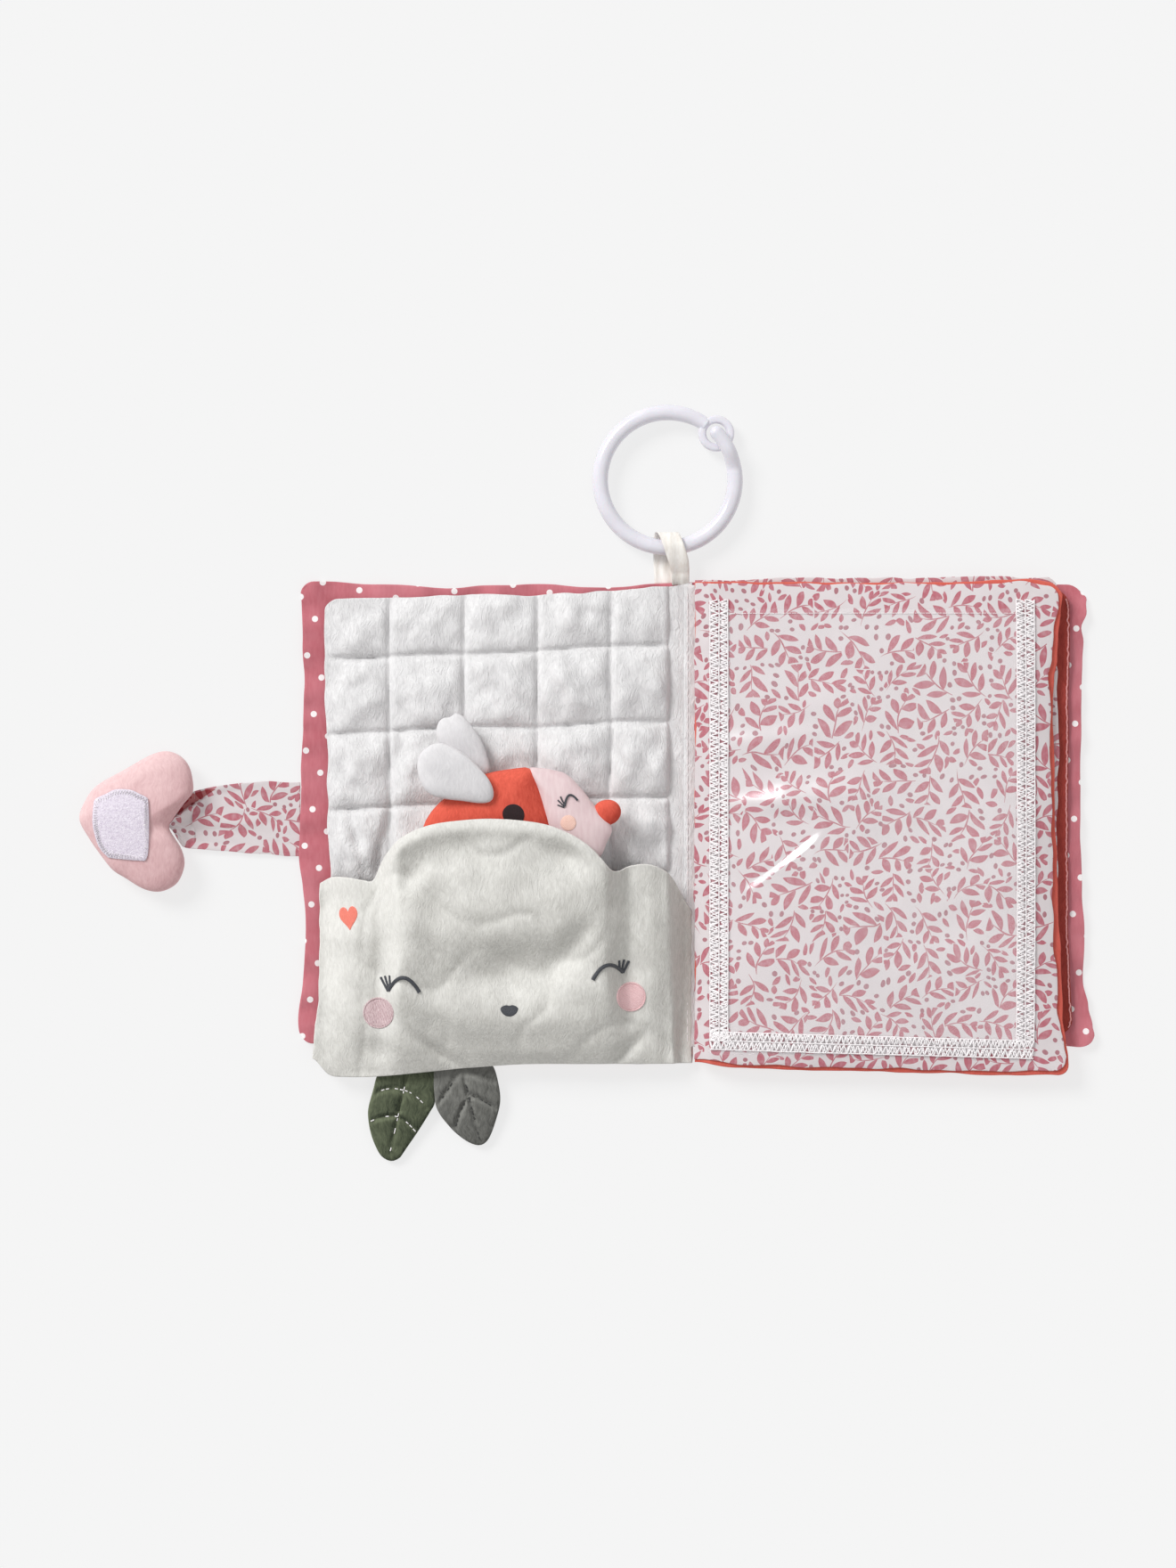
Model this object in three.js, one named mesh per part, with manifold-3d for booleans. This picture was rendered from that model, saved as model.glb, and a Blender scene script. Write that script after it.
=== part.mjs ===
// A soft activity book for babies, open and lying face up on a table.
// Millimetres, +Z up. The origin is the middle of the spine's underside, +X runs to the fore edge
// of the back cover and +Y to the top of the pages. The front cover and its leaf lie on the -X side.
import * as THREE from 'three';
import { mergeVertices } from 'three/addons/utils/BufferGeometryUtils.js';
import Module from 'manifold-3d';

const wasm = await Module();
wasm.setup();

// Driving dimensions
const coverWidth = 134;
const coverHeight = 170;
const spineWidth = 24;
const cornerRadius = 9;
const meshPitch = 18;

// Layers
const gap = 0.3;
const coverCloth = 1.4;
const cloth = 1;
const coverLoft = 2;
const leafLoft = 3;
const waddingInset = 16;
const crownPower = 3;

// Leaves
const gutter = 4;
const leafHeight = 180;
const windowLeafWidth = 133.7;
const innerLeafWidth = 131;
const pocketLeafWidth = 132.4;
const bindingHeight = 6;

// Red plush lining of the back cover
const liningThickness = 1.6;
const liningMargin = 7.5;
const liningEndMargin = 3;

// Quilting of the pocket leaf
const plushCloth = 1.2;
const quiltRise = 2.2;
const quiltPitchX = 27;
const quiltPitchY = 28;
const quiltFirstX = 24.6;
const quiltFirstY = 26.5;
const quiltShoulder = 5;
const quiltEdgeGain = 4;

// Cloud pocket
const pocketCloth = 2.5;
const pocketShoulderRise = 5;
const pocketDomeRise = 13.2;
const pocketSideMargin = 1.5;
const pocketGutterMargin = 2;
const pocketSideRamp = 16;
const domeCentre = 70;
const domeHalfWidth = 42;
const domeRamp = 10;
const mouthDome = 2;
const mouthLeftShoulder = 24;
const mouthRightShoulder = 19;
const mouthRamp = 9;
const pocketFloorRamp = 62;
const pocketColumnCount = 20;
const pocketRowShares = [0, 0.05, 0.12, 0.22, 0.34, 0.48, 0.62, 0.75, 0.87, 1];

// Bird
const birdThickness = 12;
const birdBodyRadius = 23;
const birdBodyX = 76.5;
const birdBodyY = -7;
const headWidth = 15.2;
const headHeight = 16.4;
const headOffsetX = 31;
const headOffsetY = 7.7;
const headThickness = 11;
const beakRadius = 4.8;
const beakThickness = 7;
const nearWingLength = 31;
const nearWingWidth = 14;
const nearWingThickness = 5.5;
const nearWingLift = 8.5;
const nearWingRootX = 2.6;
const nearWingRootY = 13.8;
const nearWingTurn = Math.PI * 5 / 6;
const farWingLength = 26;
const farWingWidth = 13;
const farWingThickness = 4.5;
const farWingRootX = 0.5;
const farWingRootY = 22;
const farWingTurn = Math.PI * 0.705;
const wingFullness = 0.85;

// Leaf tabs on the bottom edge of the pocket leaf
const tabThickness = 3;
const greenTabLength = 33;
const greenTabWidth = 24;
const greenTabX = 107;
const greenTabTurn = -Math.PI * 0.545;
const greyTabLength = 28;
const greyTabWidth = 22;
const greyTabX = 84;
const greyTabTurn = -Math.PI * 0.46;
const tabDroop = 2.4;
const tabSeamReach = 4;
const tabFullness = 0.72;

// Closure strap and heart
const strapLength = 38.5;
const strapWidth = 27.5;
const strapEndWidth = 21;
const strapThickness = 2;
const strapY = -2;
const heartLength = 41;
const heartWidth = 51.5;
const heartThickness = 13;
const heartMiddleShare = 0.42;
const notchFillWidth = 15;
const notchFillLength = 9;
const notchFillThickness = 3;
const patchLength = 20;
const patchWidth = 25;
const patchRise = 1.2;
const patchCorner = 6;
const patchTipMargin = 6;
const patchSkin = 2.6;

// Mating patch under the back cover
const matePatchLength = 26;
const matePatchWidth = 25;
const matePatchThickness = 0.7;
const matePatchMargin = 15;

// Clear film pocket and the thread that edges it
const filmThickness = 0.4;
const filmGutterMargin = 1.6;
const filmForeMargin = 12.1;
const filmTopMargin = 9.5;
const filmBottomMargin = 6.5;
const threadWidth = 7.5;
const threadThickness = 0.6;
const threadTopReach = 4;

// Ring and its ribbon loop
const ringRadius = 24.9;
const ringTube = 2.9;
const ringX = 9.5;
const ringReach = 13.2;
const ribbonWidth = 7.5;
const ribbonThickness = 0.8;
const ribbonClearance = 0.7;
const ribbonRoot = 2.6;
const ribbonRootLift = 0.9;
const ribbonNeck = 3;
const eyeletHole = 3.8;
const eyeletWall = 3;
const eyeletThickness = 3.4;
const eyeletDrop = 1.2;
const eyeletAngle = Math.PI * 0.243;
const eyeletHalfAngle = Math.PI * 0.075;
const eyeletProfileShares = [
  [0, -0.3], [0.25, -0.5], [0.75, -0.5], [1, -0.25], [1, 0.25], [0.75, 0.5], [0.25, 0.5], [0, 0.3], [0, -0.3],
];
const tipLiftAngle = Math.PI * 0.2;
const tipLiftShare = 0.6;
const tipDip = 2.6;

const colours = {
  dottedPink: 0xcb7082,
  redPlush: 0x963232,
  wadding: 0xf4f2ee,
  whitePlush: 0xf0f0f2,
  creamPlush: 0xe1e1dc,
  sprigPrint: 0xe6cdd1,
  coral: 0xe15546,
  birdCoral: 0xe44b3c,
  paleSatin: 0xf0d2d4,
  greenVelvet: 0x4a5a46,
  greyVelvet: 0x878787,
  heartPink: 0xeed0d0,
  fastener: 0xe1d7e4,
  film: 0xf2f2f5,
  thread: 0xf5f5f5,
  ring: 0xebe8f0,
  ribbon: 0xf0ece6,
};

const group = new THREE.Group();

function look(colour, roughness = 0.9) {
  return new THREE.MeshStandardMaterial({ color: colour, roughness, metalness: 0 });
}

function addPiece(name, geometry, material) {
  geometry.computeVertexNormals();
  const mesh = new THREE.Mesh(geometry, material);
  mesh.name = name;
  group.add(mesh);
}

function geometryOf(positions, triangles) {
  const geometry = new THREE.BufferGeometry();
  geometry.setAttribute('position', new THREE.Float32BufferAttribute(positions, 3));
  geometry.setIndex(triangles);
  return geometry;
}

function solidOf(geometry) {
  const bare = geometry.clone();
  bare.deleteAttribute('normal');
  bare.deleteAttribute('uv');
  const merged = mergeVertices(bare, gap / 1000);
  return new wasm.Manifold(new wasm.Mesh({
    numProp: 3,
    vertProperties: new Float32Array(merged.attributes.position.array),
    triVerts: new Uint32Array(merged.index.array),
  }));
}

function geometryFrom(solid) {
  const mesh = solid.getMesh();
  return geometryOf(Array.from(mesh.vertProperties), Array.from(mesh.triVerts));
}

// A cloth-like solid over a grid: place gives x and y of a node of the grid,
// under and over give the heights of its two faces there.
function clothGeometry(columns, rows, place, under, over) {
  const positions = [];
  for (const v of rows) {
    for (const u of columns) {
      const [x, y] = place(u, v);
      positions.push(x, y, over(x, y), x, y, under(x, y));
    }
  }
  const wide = columns.length;
  const tall = rows.length;
  const top = (i, j) => 2 * (j * wide + i);
  const triangles = [];
  const quad = (a, b, c, d) => triangles.push(a, b, c, a, c, d);
  for (let j = 0; j < tall - 1; j += 1) {
    for (let i = 0; i < wide - 1; i += 1) {
      quad(top(i, j), top(i + 1, j), top(i + 1, j + 1), top(i, j + 1));
      quad(top(i, j) + 1, top(i, j + 1) + 1, top(i + 1, j + 1) + 1, top(i + 1, j) + 1);
    }
  }
  const rim = [];
  for (let i = 0; i < wide - 1; i += 1) rim.push(top(i, 0));
  for (let j = 0; j < tall - 1; j += 1) rim.push(top(wide - 1, j));
  for (let i = wide - 1; i > 0; i -= 1) rim.push(top(i, tall - 1));
  for (let j = tall - 1; j > 0; j -= 1) rim.push(top(0, j));
  rim.forEach((a, n) => {
    const b = rim[(n + 1) % rim.length];
    quad(a, a + 1, b + 1, b);
  });
  return geometryOf(positions, triangles);
}

// Lines across a grid: its two ends, a line at each of the margins, and even cells between them
function gridLines(low, high, margins, pitch) {
  const inner = margins.at(-1);
  const cells = Math.max(1, Math.round((high - low - 2 * inner) / pitch));
  const lines = [low, high];
  for (const margin of margins.slice(0, -1)) lines.push(low + margin, high - margin);
  for (let n = 0; n <= cells; n += 1) lines.push(low + inner + (high - low - 2 * inner) * n / cells);
  return lines.sort((a, b) => a - b);
}

// Rounds the corners of a rectangular plan without moving its straight edges
function roundedPlan(plan) {
  const { left, right, bottom, top, corner } = plan;
  const middle = [(left + right) / 2, (bottom + top) / 2];
  const inner = [(right - left) / 2 - corner, (top - bottom) / 2 - corner];
  return (x, y) => {
    const away = [x - middle[0], y - middle[1]];
    const p = (Math.abs(away[0]) - inner[0]) / corner;
    const q = (Math.abs(away[1]) - inner[1]) / corner;
    if (p <= 0 || q <= 0) return [x, y];
    const pulled = [p * Math.sqrt(1 - q * q / 2), q * Math.sqrt(1 - p * p / 2)];
    return away.map((d, n) => middle[n] + Math.sign(d) * (inner[n] + corner * pulled[n]));
  };
}

function panel(name, plan, under, over, material, margins = [plan.corner, waddingInset], pitch = meshPitch) {
  const columns = gridLines(plan.left, plan.right, margins, pitch);
  const rows = gridLines(plan.bottom, plan.top, margins, pitch);
  addPiece(name, clothGeometry(columns, rows, roundedPlan(plan), under, over), material);
}

function wadding(name, plan, under, over) {
  const within = (low, high) => gridLines(low, high, [waddingInset], meshPitch)
    .filter(line => line > low && line < high);
  addPiece(name, clothGeometry(within(plan.left, plan.right), within(plan.bottom, plan.top),
    (x, y) => [x, y], under, over), look(colours.wadding, 1));
}

// 1 in the middle of a plan, 0 at its edges and beyond them
function crown(plan, x, y) {
  const across = Math.abs(2 * x - plan.left - plan.right) / (plan.right - plan.left);
  const along = Math.abs(2 * y - plan.bottom - plan.top) / (plan.top - plan.bottom);
  return Math.max(0, 1 - across ** crownPower) * Math.max(0, 1 - along ** crownPower);
}

const plus = (surface, rise) => (x, y) => surface(x, y) + rise;

// Two cloth faces sewn together at the edges over a wadding. Returns the height of its top face.
function sandwich(names, plan, under, backCloth, loft, frontCloth, looks) {
  const backTop = plus(under, backCloth);
  const frontUnder = (x, y) => backTop(x, y) + gap + loft * crown(plan, x, y);
  const frontTop = plus(frontUnder, frontCloth);
  panel(names[0], plan, under, backTop, looks[0]);
  wadding(names[1], plan, plus(backTop, gap), plus(frontUnder, -gap));
  if (names[2]) panel(names[2], plan, frontUnder, frontTop, looks[1]);
  return { frontUnder, frontTop };
}

// Plans
const halfSpine = spineWidth / 2;
const halfCover = coverHeight / 2;
const leafBottom = halfCover - leafHeight;
const coverPlan = side => ({
  left: side > 0 ? halfSpine + gap : -halfSpine - coverWidth,
  right: side > 0 ? halfSpine + coverWidth : -halfSpine - gap,
  bottom: -halfCover,
  top: halfCover,
  corner: cornerRadius,
});
const leafPlan = (side, width) => ({
  left: side > 0 ? gutter : -gutter - width,
  right: side > 0 ? gutter + width : -gutter,
  bottom: leafBottom,
  top: halfCover,
  corner: cornerRadius,
});
const table = () => 0;
const cottonLook = look(colours.dottedPink);

// Spine and the tape that binds the leaves in the gutter
const spineThickness = coverCloth + gap + cloth;
const spinePlan = {
  left: -halfSpine, right: halfSpine, bottom: -halfCover, top: halfCover, corner: gap,
};
const flatPanel = (name, plan, under, over, material) => panel(
  name, plan, under, over, material, [plan.corner], coverHeight);
flatPanel('spine_strip', spinePlan, table, () => spineThickness, cottonLook);
const bindingPlan = {
  left: gap - gutter, right: gutter - gap, bottom: leafBottom + cornerRadius, top: halfCover, corner: gap,
};
const bindingBase = spineThickness + gap;
flatPanel('gutter_binding', bindingPlan, () => bindingBase, () => bindingBase + bindingHeight,
  look(colours.whitePlush));

// Back cover, with the loop patch let into its underside
const backPlan = coverPlan(1);
const mateRight = backPlan.right - matePatchMargin;
const mateLeft = mateRight - matePatchLength;
function slab(left, right, bottom, top, low, high) {
  const box = new THREE.BoxGeometry(right - left, top - bottom, high - low);
  return box.translate((left + right) / 2, (bottom + top) / 2, (low + high) / 2);
}
const mateHalf = matePatchWidth / 2;
addPiece('closure_loop_patch',
  slab(mateLeft, mateRight, strapY - mateHalf, strapY + mateHalf, 0, matePatchThickness),
  look(colours.fastener));
const recess = slab(mateLeft - gap, mateRight + gap, strapY - mateHalf - gap, strapY + mateHalf + gap,
  -gap, matePatchThickness + gap);
const backOuter = clothGeometry(
  gridLines(backPlan.left, backPlan.right, [cornerRadius], coverWidth),
  gridLines(backPlan.bottom, backPlan.top, [cornerRadius], coverHeight),
  roundedPlan(backPlan), table, () => coverCloth);
addPiece('back_cover_outer', geometryFrom(solidOf(backOuter).subtract(solidOf(recess))), cottonLook);

function cover(side, plan, withBack) {
  const coverTop = () => coverCloth;
  const over = (x, y) => coverTop() + gap + coverLoft * crown(plan, x, y);
  if (withBack) flatPanel(`${side}_outer`, plan, table, coverTop, cottonLook);
  wadding(`${side}_wadding`, plan, plus(coverTop, gap), plus(over, -gap));
  panel(`${side}_inner`, plan, over, plus(over, cloth), cottonLook);
  return plus(over, cloth);
}
const backCoverTop = cover('back_cover', backPlan, false);
const frontPlan = coverPlan(-1);
const frontCoverTop = cover('front_cover', frontPlan, true);

// Red plush lining sewn on the inside of the back cover
const liningPlan = {
  left: gutter,
  right: backPlan.right - liningMargin,
  bottom: -halfCover + liningEndMargin,
  top: halfCover - liningEndMargin / 2,
  corner: cornerRadius,
};
const liningUnder = plus(backCoverTop, gap);
const liningTop = plus(liningUnder, liningThickness);
panel('back_cover_lining', liningPlan, liningUnder, liningTop, look(colours.redPlush));

// Inner leaf and window leaf
const leafNames = side => [`${side}_back`, `${side}_wadding`, `${side}_front`];
const printLook = look(colours.sprigPrint);
const innerPlan = leafPlan(1, innerLeafWidth);
const innerTop = sandwich(leafNames('inner_leaf'), innerPlan, plus(liningTop, gap), cloth, leafLoft, cloth,
  [look(colours.coral), printLook]).frontTop;
const windowPlan = leafPlan(1, windowLeafWidth);
const windowTop = sandwich(leafNames('window_leaf'), windowPlan, plus(innerTop, gap), cloth, leafLoft, cloth,
  [look(colours.coral), printLook]).frontTop;

// Clear film pocket, open at the top, and the thread over its three sewn edges
const filmLeft = windowPlan.left + filmGutterMargin;
const filmRight = windowPlan.right - filmForeMargin;
const filmTopEdge = windowPlan.top - filmTopMargin;
const filmBottom = windowPlan.bottom + filmBottomMargin;
const filmUnder = plus(windowTop, gap);
const filmOver = plus(filmUnder, filmThickness);
const leafColumns = gridLines(windowPlan.left, windowPlan.right, [cornerRadius, waddingInset], meshPitch);
const leafRows = gridLines(windowPlan.bottom, windowPlan.top, [cornerRadius, waddingInset], meshPitch);
const linesWithin = (lines, low, high) => [
  low, ...lines.filter(line => line > low + gap && line < high - gap), high,
];
addPiece('clear_film_pocket', clothGeometry(
  linesWithin(leafColumns, filmLeft, filmRight), linesWithin(leafRows, filmBottom, filmTopEdge),
  (x, y) => [x, y], filmUnder, filmOver), look(colours.film, 0.1));
const threadUnder = plus(filmOver, gap);
const threadTop = filmTopEdge + threadTopReach;
const sideBottom = filmBottom + threadWidth + gap;
const threadStrips = {
  window_thread_gutter: [filmLeft, filmLeft + threadWidth, sideBottom, threadTop],
  window_thread_fore: [filmRight - threadWidth, filmRight, sideBottom, threadTop],
  window_thread_bottom: [filmLeft, filmRight, filmBottom, filmBottom + threadWidth],
};
for (const [name, [left, right, bottom, top]] of Object.entries(threadStrips)) {
  addPiece(name, clothGeometry(
    linesWithin(leafColumns, left, right), linesWithin(leafRows, bottom, top),
    (x, y) => [x, y], threadUnder, plus(threadUnder, threadThickness)), look(colours.thread));
}

// Pocket leaf: a quilted plush face over its wadding and back
const pocketPlan = leafPlan(-1, pocketLeafWidth);
const pocketSandwich = sandwich(['pocket_leaf_back', 'pocket_leaf_wadding', null], pocketPlan,
  plus(frontCoverTop, gap), cloth, leafLoft, plushCloth, [look(colours.coral)]);
const seamX = pocketPlan.left + quiltFirstX;
const seamY = pocketPlan.top - quiltFirstY;
const swell = (distance, pitch) => Math.abs(Math.sin(Math.PI * distance / pitch)) ** 0.6;
const edgeShare = (x, y) => Math.min(1, quiltEdgeGain * crown(pocketPlan, x, y));
const quiltTop = (x, y) => pocketSandwich.frontTop(x, y)
  + quiltRise * edgeShare(x, y) * swell(x - seamX, quiltPitchX) * swell(y - seamY, quiltPitchY);
const quiltEnvelope = (x, y) => pocketSandwich.frontTop(x, y) + quiltRise * edgeShare(x, y);
function quiltLines(low, high, seam, pitch) {
  const lines = [low, high];
  const first = seam - pitch * Math.ceil((seam - low) / pitch);
  for (let start = first; start < high; start += pitch) {
    lines.push(start, start + quiltShoulder, start + pitch / 2, start + pitch - quiltShoulder);
  }
  const near = quiltShoulder / 2;
  const kept = lines.filter(v => v === low || v === high || (v > low + near && v < high - near));
  return kept.sort((a, b) => a - b);
}
addPiece('pocket_leaf_front', clothGeometry(
  quiltLines(pocketPlan.left, pocketPlan.right, seamX, quiltPitchX),
  quiltLines(pocketPlan.bottom, pocketPlan.top, seamY, quiltPitchY),
  roundedPlan(pocketPlan), pocketSandwich.frontUnder, quiltTop), look(colours.whitePlush));

// Cloud pocket: a plush sheet sewn on at the sides and the bottom, open at its scalloped top
const pocketLeft = pocketPlan.left - pocketSideMargin;
const pocketRight = pocketPlan.right - pocketGutterMargin;
const smooth = t => {
  const s = Math.min(1, Math.max(0, t));
  return s * s * (3 - 2 * s);
};
const domeShare = (x, halfWidth, ramp) => smooth((halfWidth + ramp / 2 - Math.abs(x + domeCentre)) / ramp);
const mouthOf = x => {
  const shoulder = x < -domeCentre ? mouthLeftShoulder : mouthRightShoulder;
  const bow = shoulder / 4 * Math.abs((x + domeCentre) / domeHalfWidth) ** crownPower;
  const dome = domeShare(x, domeHalfWidth, mouthRamp);
  const end = Math.min(x - pocketLeft, pocketRight - x) / pocketSideRamp;
  const drop = (1 - smooth(end)) * mouthRamp;
  return -(dome * (mouthDome + bow) + (1 - dome) * (shoulder + drop));
};
const sideShare = x => smooth(Math.min(x - pocketLeft, pocketRight - x) / pocketSideRamp);
const floorShare = y => Math.sqrt(smooth((y - leafBottom) / pocketFloorRamp));
const cavity = (x, y) => floorShare(y) * (pocketShoulderRise * sideShare(x)
  + (pocketDomeRise - pocketShoulderRise) * domeShare(x, domeHalfWidth, domeRamp));
const pocketUnder = (x, y) => quiltEnvelope(x, y) + gap + cavity(x, y);
const pocketColumns = [];
for (let n = 0; n <= pocketColumnCount; n += 1) {
  pocketColumns.push(pocketLeft + (pocketRight - pocketLeft) * n / pocketColumnCount);
}
addPiece('cloud_pocket', clothGeometry(pocketColumns, pocketRowShares,
  (x, share) => [x, leafBottom + (mouthOf(x) - leafBottom) * share],
  pocketUnder, plus(pocketUnder, pocketCloth)), look(colours.creamPlush));

// A stuffed shape: an outline round a centre, swollen through rings of [share of the outline, height]
function stuffedGeometry(outline, centre, rings, lift = () => 0) {
  const count = outline.length;
  const positions = [];
  const point = (x, y, z) => positions.push(x, y, z + lift(x, y));
  point(centre[0], centre[1], rings[0][1]);
  for (const [share, height] of rings) {
    for (const [x, y] of outline) {
      point(centre[0] + share * (x - centre[0]), centre[1] + share * (y - centre[1]), height);
    }
  }
  point(centre[0], centre[1], rings.at(-1)[1]);
  const last = positions.length / 3 - 1;
  const at = (ring, n) => 1 + ring * count + n % count;
  const triangles = [];
  for (let n = 0; n < count; n += 1) {
    triangles.push(0, at(0, n + 1), at(0, n));
    for (let ring = 0; ring < rings.length - 1; ring += 1) {
      triangles.push(at(ring, n), at(ring, n + 1), at(ring + 1, n + 1));
      triangles.push(at(ring, n), at(ring + 1, n + 1), at(ring + 1, n));
    }
    triangles.push(last, at(rings.length - 1, n), at(rings.length - 1, n + 1));
  }
  return geometryOf(positions, triangles);
}

const roundShares = [[0.55, 0], [0.85, 0.14], [1, 0.42], [0.96, 0.66], [0.78, 0.86], [0.45, 0.98]];
const swollen = (base, thickness) => roundShares.map(([share, rise]) => [share, base + rise * thickness]);

function ellipseOutline(x, y, halfWidth, halfHeight, count) {
  const points = [];
  for (let n = 0; n < count; n += 1) {
    const angle = 2 * Math.PI * n / count;
    points.push([x + halfWidth * Math.cos(angle), y + halfHeight * Math.sin(angle)]);
  }
  return points;
}

// A petal or leaf outline from its root, its length along the turn angle
function petalOutline(rootX, rootY, length, width, turn, fullness, count) {
  const half = count / 2;
  const points = [];
  for (let n = 0; n < count; n += 1) {
    const side = n < half ? -1 : 1;
    const along = n < half ? n / half : (count - n) / half;
    const spread = side * width / 2 * Math.sin(Math.PI * Math.max(along, fullness / 2) ** fullness) ** 0.8;
    const reach = along * length;
    const sideways = along === 1 ? 0 : spread;
    points.push([
      rootX + reach * Math.cos(turn) - sideways * Math.sin(turn),
      rootY + reach * Math.sin(turn) + sideways * Math.cos(turn),
    ]);
  }
  return points;
}
const middleOf = (rootX, rootY, length, turn) => [
  rootX + length / 2 * Math.cos(turn), rootY + length / 2 * Math.sin(turn),
];

// Bird, lying on the leaf inside the pocket's mouth
const birdBase = quiltEnvelope(-birdBodyX, 0) + gap;
const bodySolid = grow => solidOf(stuffedGeometry(
  ellipseOutline(-birdBodyX, birdBodyY, birdBodyRadius + grow, birdBodyRadius + grow, 32),
  [-birdBodyX, birdBodyY], swollen(birdBase - grow, birdThickness + 2 * grow)));
addPiece('bird_body', geometryFrom(bodySolid(0)), look(colours.birdCoral));
const headX = headOffsetX - birdBodyX;
const headY = birdBodyY + headOffsetY;
const headSolid = grow => solidOf(stuffedGeometry(
  ellipseOutline(headX, headY, headWidth + grow, headHeight + grow, 28),
  [headX, headY], swollen(birdBase - grow, headThickness + 2 * grow)));
addPiece('bird_head', geometryFrom(headSolid(0).subtract(bodySolid(gap))), look(colours.paleSatin, 0.5));
const beakX = headX + headWidth - beakRadius / 4;
const beakSolid = solidOf(stuffedGeometry(
  ellipseOutline(beakX, headY, beakRadius, beakRadius, 14),
  [beakX, headY], swollen(birdBase + (headThickness - beakThickness) / 2, beakThickness)));
addPiece('bird_beak', geometryFrom(beakSolid.subtract(headSolid(gap))), look(colours.birdCoral));
function wingSolid(rootX, rootY, length, width, turn, base, thickness) {
  const outline = petalOutline(rootX, rootY, length, width, turn, wingFullness, 20);
  return solidOf(stuffedGeometry(outline, middleOf(rootX, rootY, length, turn), swollen(base, thickness)));
}
const nearRoot = [nearWingRootX - birdBodyX, birdBodyY + nearWingRootY];
const nearWing = wingSolid(...nearRoot, nearWingLength, nearWingWidth, nearWingTurn,
  birdBase + nearWingLift, nearWingThickness);
addPiece('bird_near_wing', geometryFrom(nearWing.subtract(bodySolid(gap))), look(colours.whitePlush));
const farRoot = [farWingRootX - birdBodyX, birdBodyY + farWingRootY];
const farWing = wingSolid(...farRoot, farWingLength, farWingWidth, farWingTurn, birdBase, farWingThickness);
addPiece('bird_far_wing', geometryFrom(farWing.subtract(bodySolid(gap))), look(colours.whitePlush));

// Leaf tabs sewn into the bottom seam of the pocket leaf
const seamBase = spineThickness + gap;
const tabRootY = leafBottom - gap;
function tab(name, x, length, width, turn, colour) {
  const petal = petalOutline(-x, tabRootY + tabSeamReach, length + tabSeamReach, width, turn, tabFullness, 24);
  const outline = petal.map(([px, py]) => [px, Math.min(py, tabRootY)]);
  const droop = (px, py) => -tabDroop * (tabRootY - py) / length;
  const middle = middleOf(-x, tabRootY, length, turn);
  addPiece(name, stuffedGeometry(outline, middle, swollen(seamBase, tabThickness), droop), look(colour));
}
tab('green_leaf_tab', greenTabX, greenTabLength, greenTabWidth, greenTabTurn, colours.greenVelvet);
tab('grey_leaf_tab', greyTabX, greyTabLength, greyTabWidth, greyTabTurn, colours.greyVelvet);

// Closure strap from the fore edge of the front cover
const strapStart = frontPlan.left - gap;
const strapEnd = strapStart - strapLength;
const strapHalf = x => {
  const share = (x - strapEnd) / strapLength;
  return (strapEndWidth + (strapWidth - strapEndWidth) * share) / 2;
};
addPiece('closure_strap', clothGeometry(
  gridLines(strapEnd, strapStart, [strapThickness], strapLength / 4), [-1, -0.5, 0, 0.5, 1],
  (x, share) => [x, strapY + share * strapHalf(x)],
  table, () => strapThickness), printLook);

// Heart at the strap's end, its tip away from the book, drawn with the usual heart curve
const heartRight = strapEnd - gap;
const heartMiddleX = heartRight - heartLength * heartMiddleShare;
function heartOutline(count, grow) {
  const raw = [];
  for (let n = 0; n < count; n += 1) {
    const t = 2 * Math.PI * n / count;
    const across = 16 * Math.sin(t) ** 3;
    const up = 13 * Math.cos(t) - 5 * Math.cos(2 * t) - 2 * Math.cos(3 * t) - Math.cos(4 * t);
    raw.push([up, across]);
  }
  const highest = Math.max(...raw.map(p => p[0]));
  const lowest = Math.min(...raw.map(p => p[0]));
  const widest = Math.max(...raw.map(p => p[1]));
  return raw.map(([up, across]) => {
    const x = heartRight + (up - highest) * heartLength / (highest - lowest);
    const y = strapY + across * heartWidth / 2 / widest;
    const away = Math.hypot(x - heartMiddleX, y - strapY);
    const reach = 1 + grow / away;
    return [heartMiddleX + (x - heartMiddleX) * reach, strapY + (y - strapY) * reach];
  });
}
const heartSolid = grow => solidOf(stuffedGeometry(
  heartOutline(36, 2 * grow), [heartMiddleX, strapY], swollen(-grow, heartThickness + 2 * grow)));
addPiece('heart_tab', geometryFrom(heartSolid(0)), look(colours.heartPink));
const notchFill = solidOf(slab(heartRight - notchFillLength, heartRight,
  strapY - notchFillWidth / 2, strapY + notchFillWidth / 2, 0, notchFillThickness));
addPiece('strap_gathered_end', geometryFrom(notchFill.subtract(heartSolid(gap))), printLook);
const patchLeft = heartRight - heartLength + patchTipMargin;
const patchBottom = strapY - patchWidth / 2;
const patchShape = new THREE.Shape([
  [patchLeft + patchCorner, patchBottom],
  [patchLeft + patchLength, patchBottom],
  [patchLeft + patchLength, patchBottom + patchWidth],
  [patchLeft, patchBottom + patchWidth],
  [patchLeft, patchBottom + patchCorner],
].map(p => new THREE.Vector2(...p)));
const patchPrism = new THREE.ExtrudeGeometry(patchShape, { depth: patchSkin + patchRise, bevelEnabled: false });
patchPrism.translate(0, 0, heartThickness - patchSkin);
addPiece('closure_hook_patch', geometryFrom(solidOf(patchPrism).subtract(heartSolid(gap))),
  look(colours.fastener));

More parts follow.
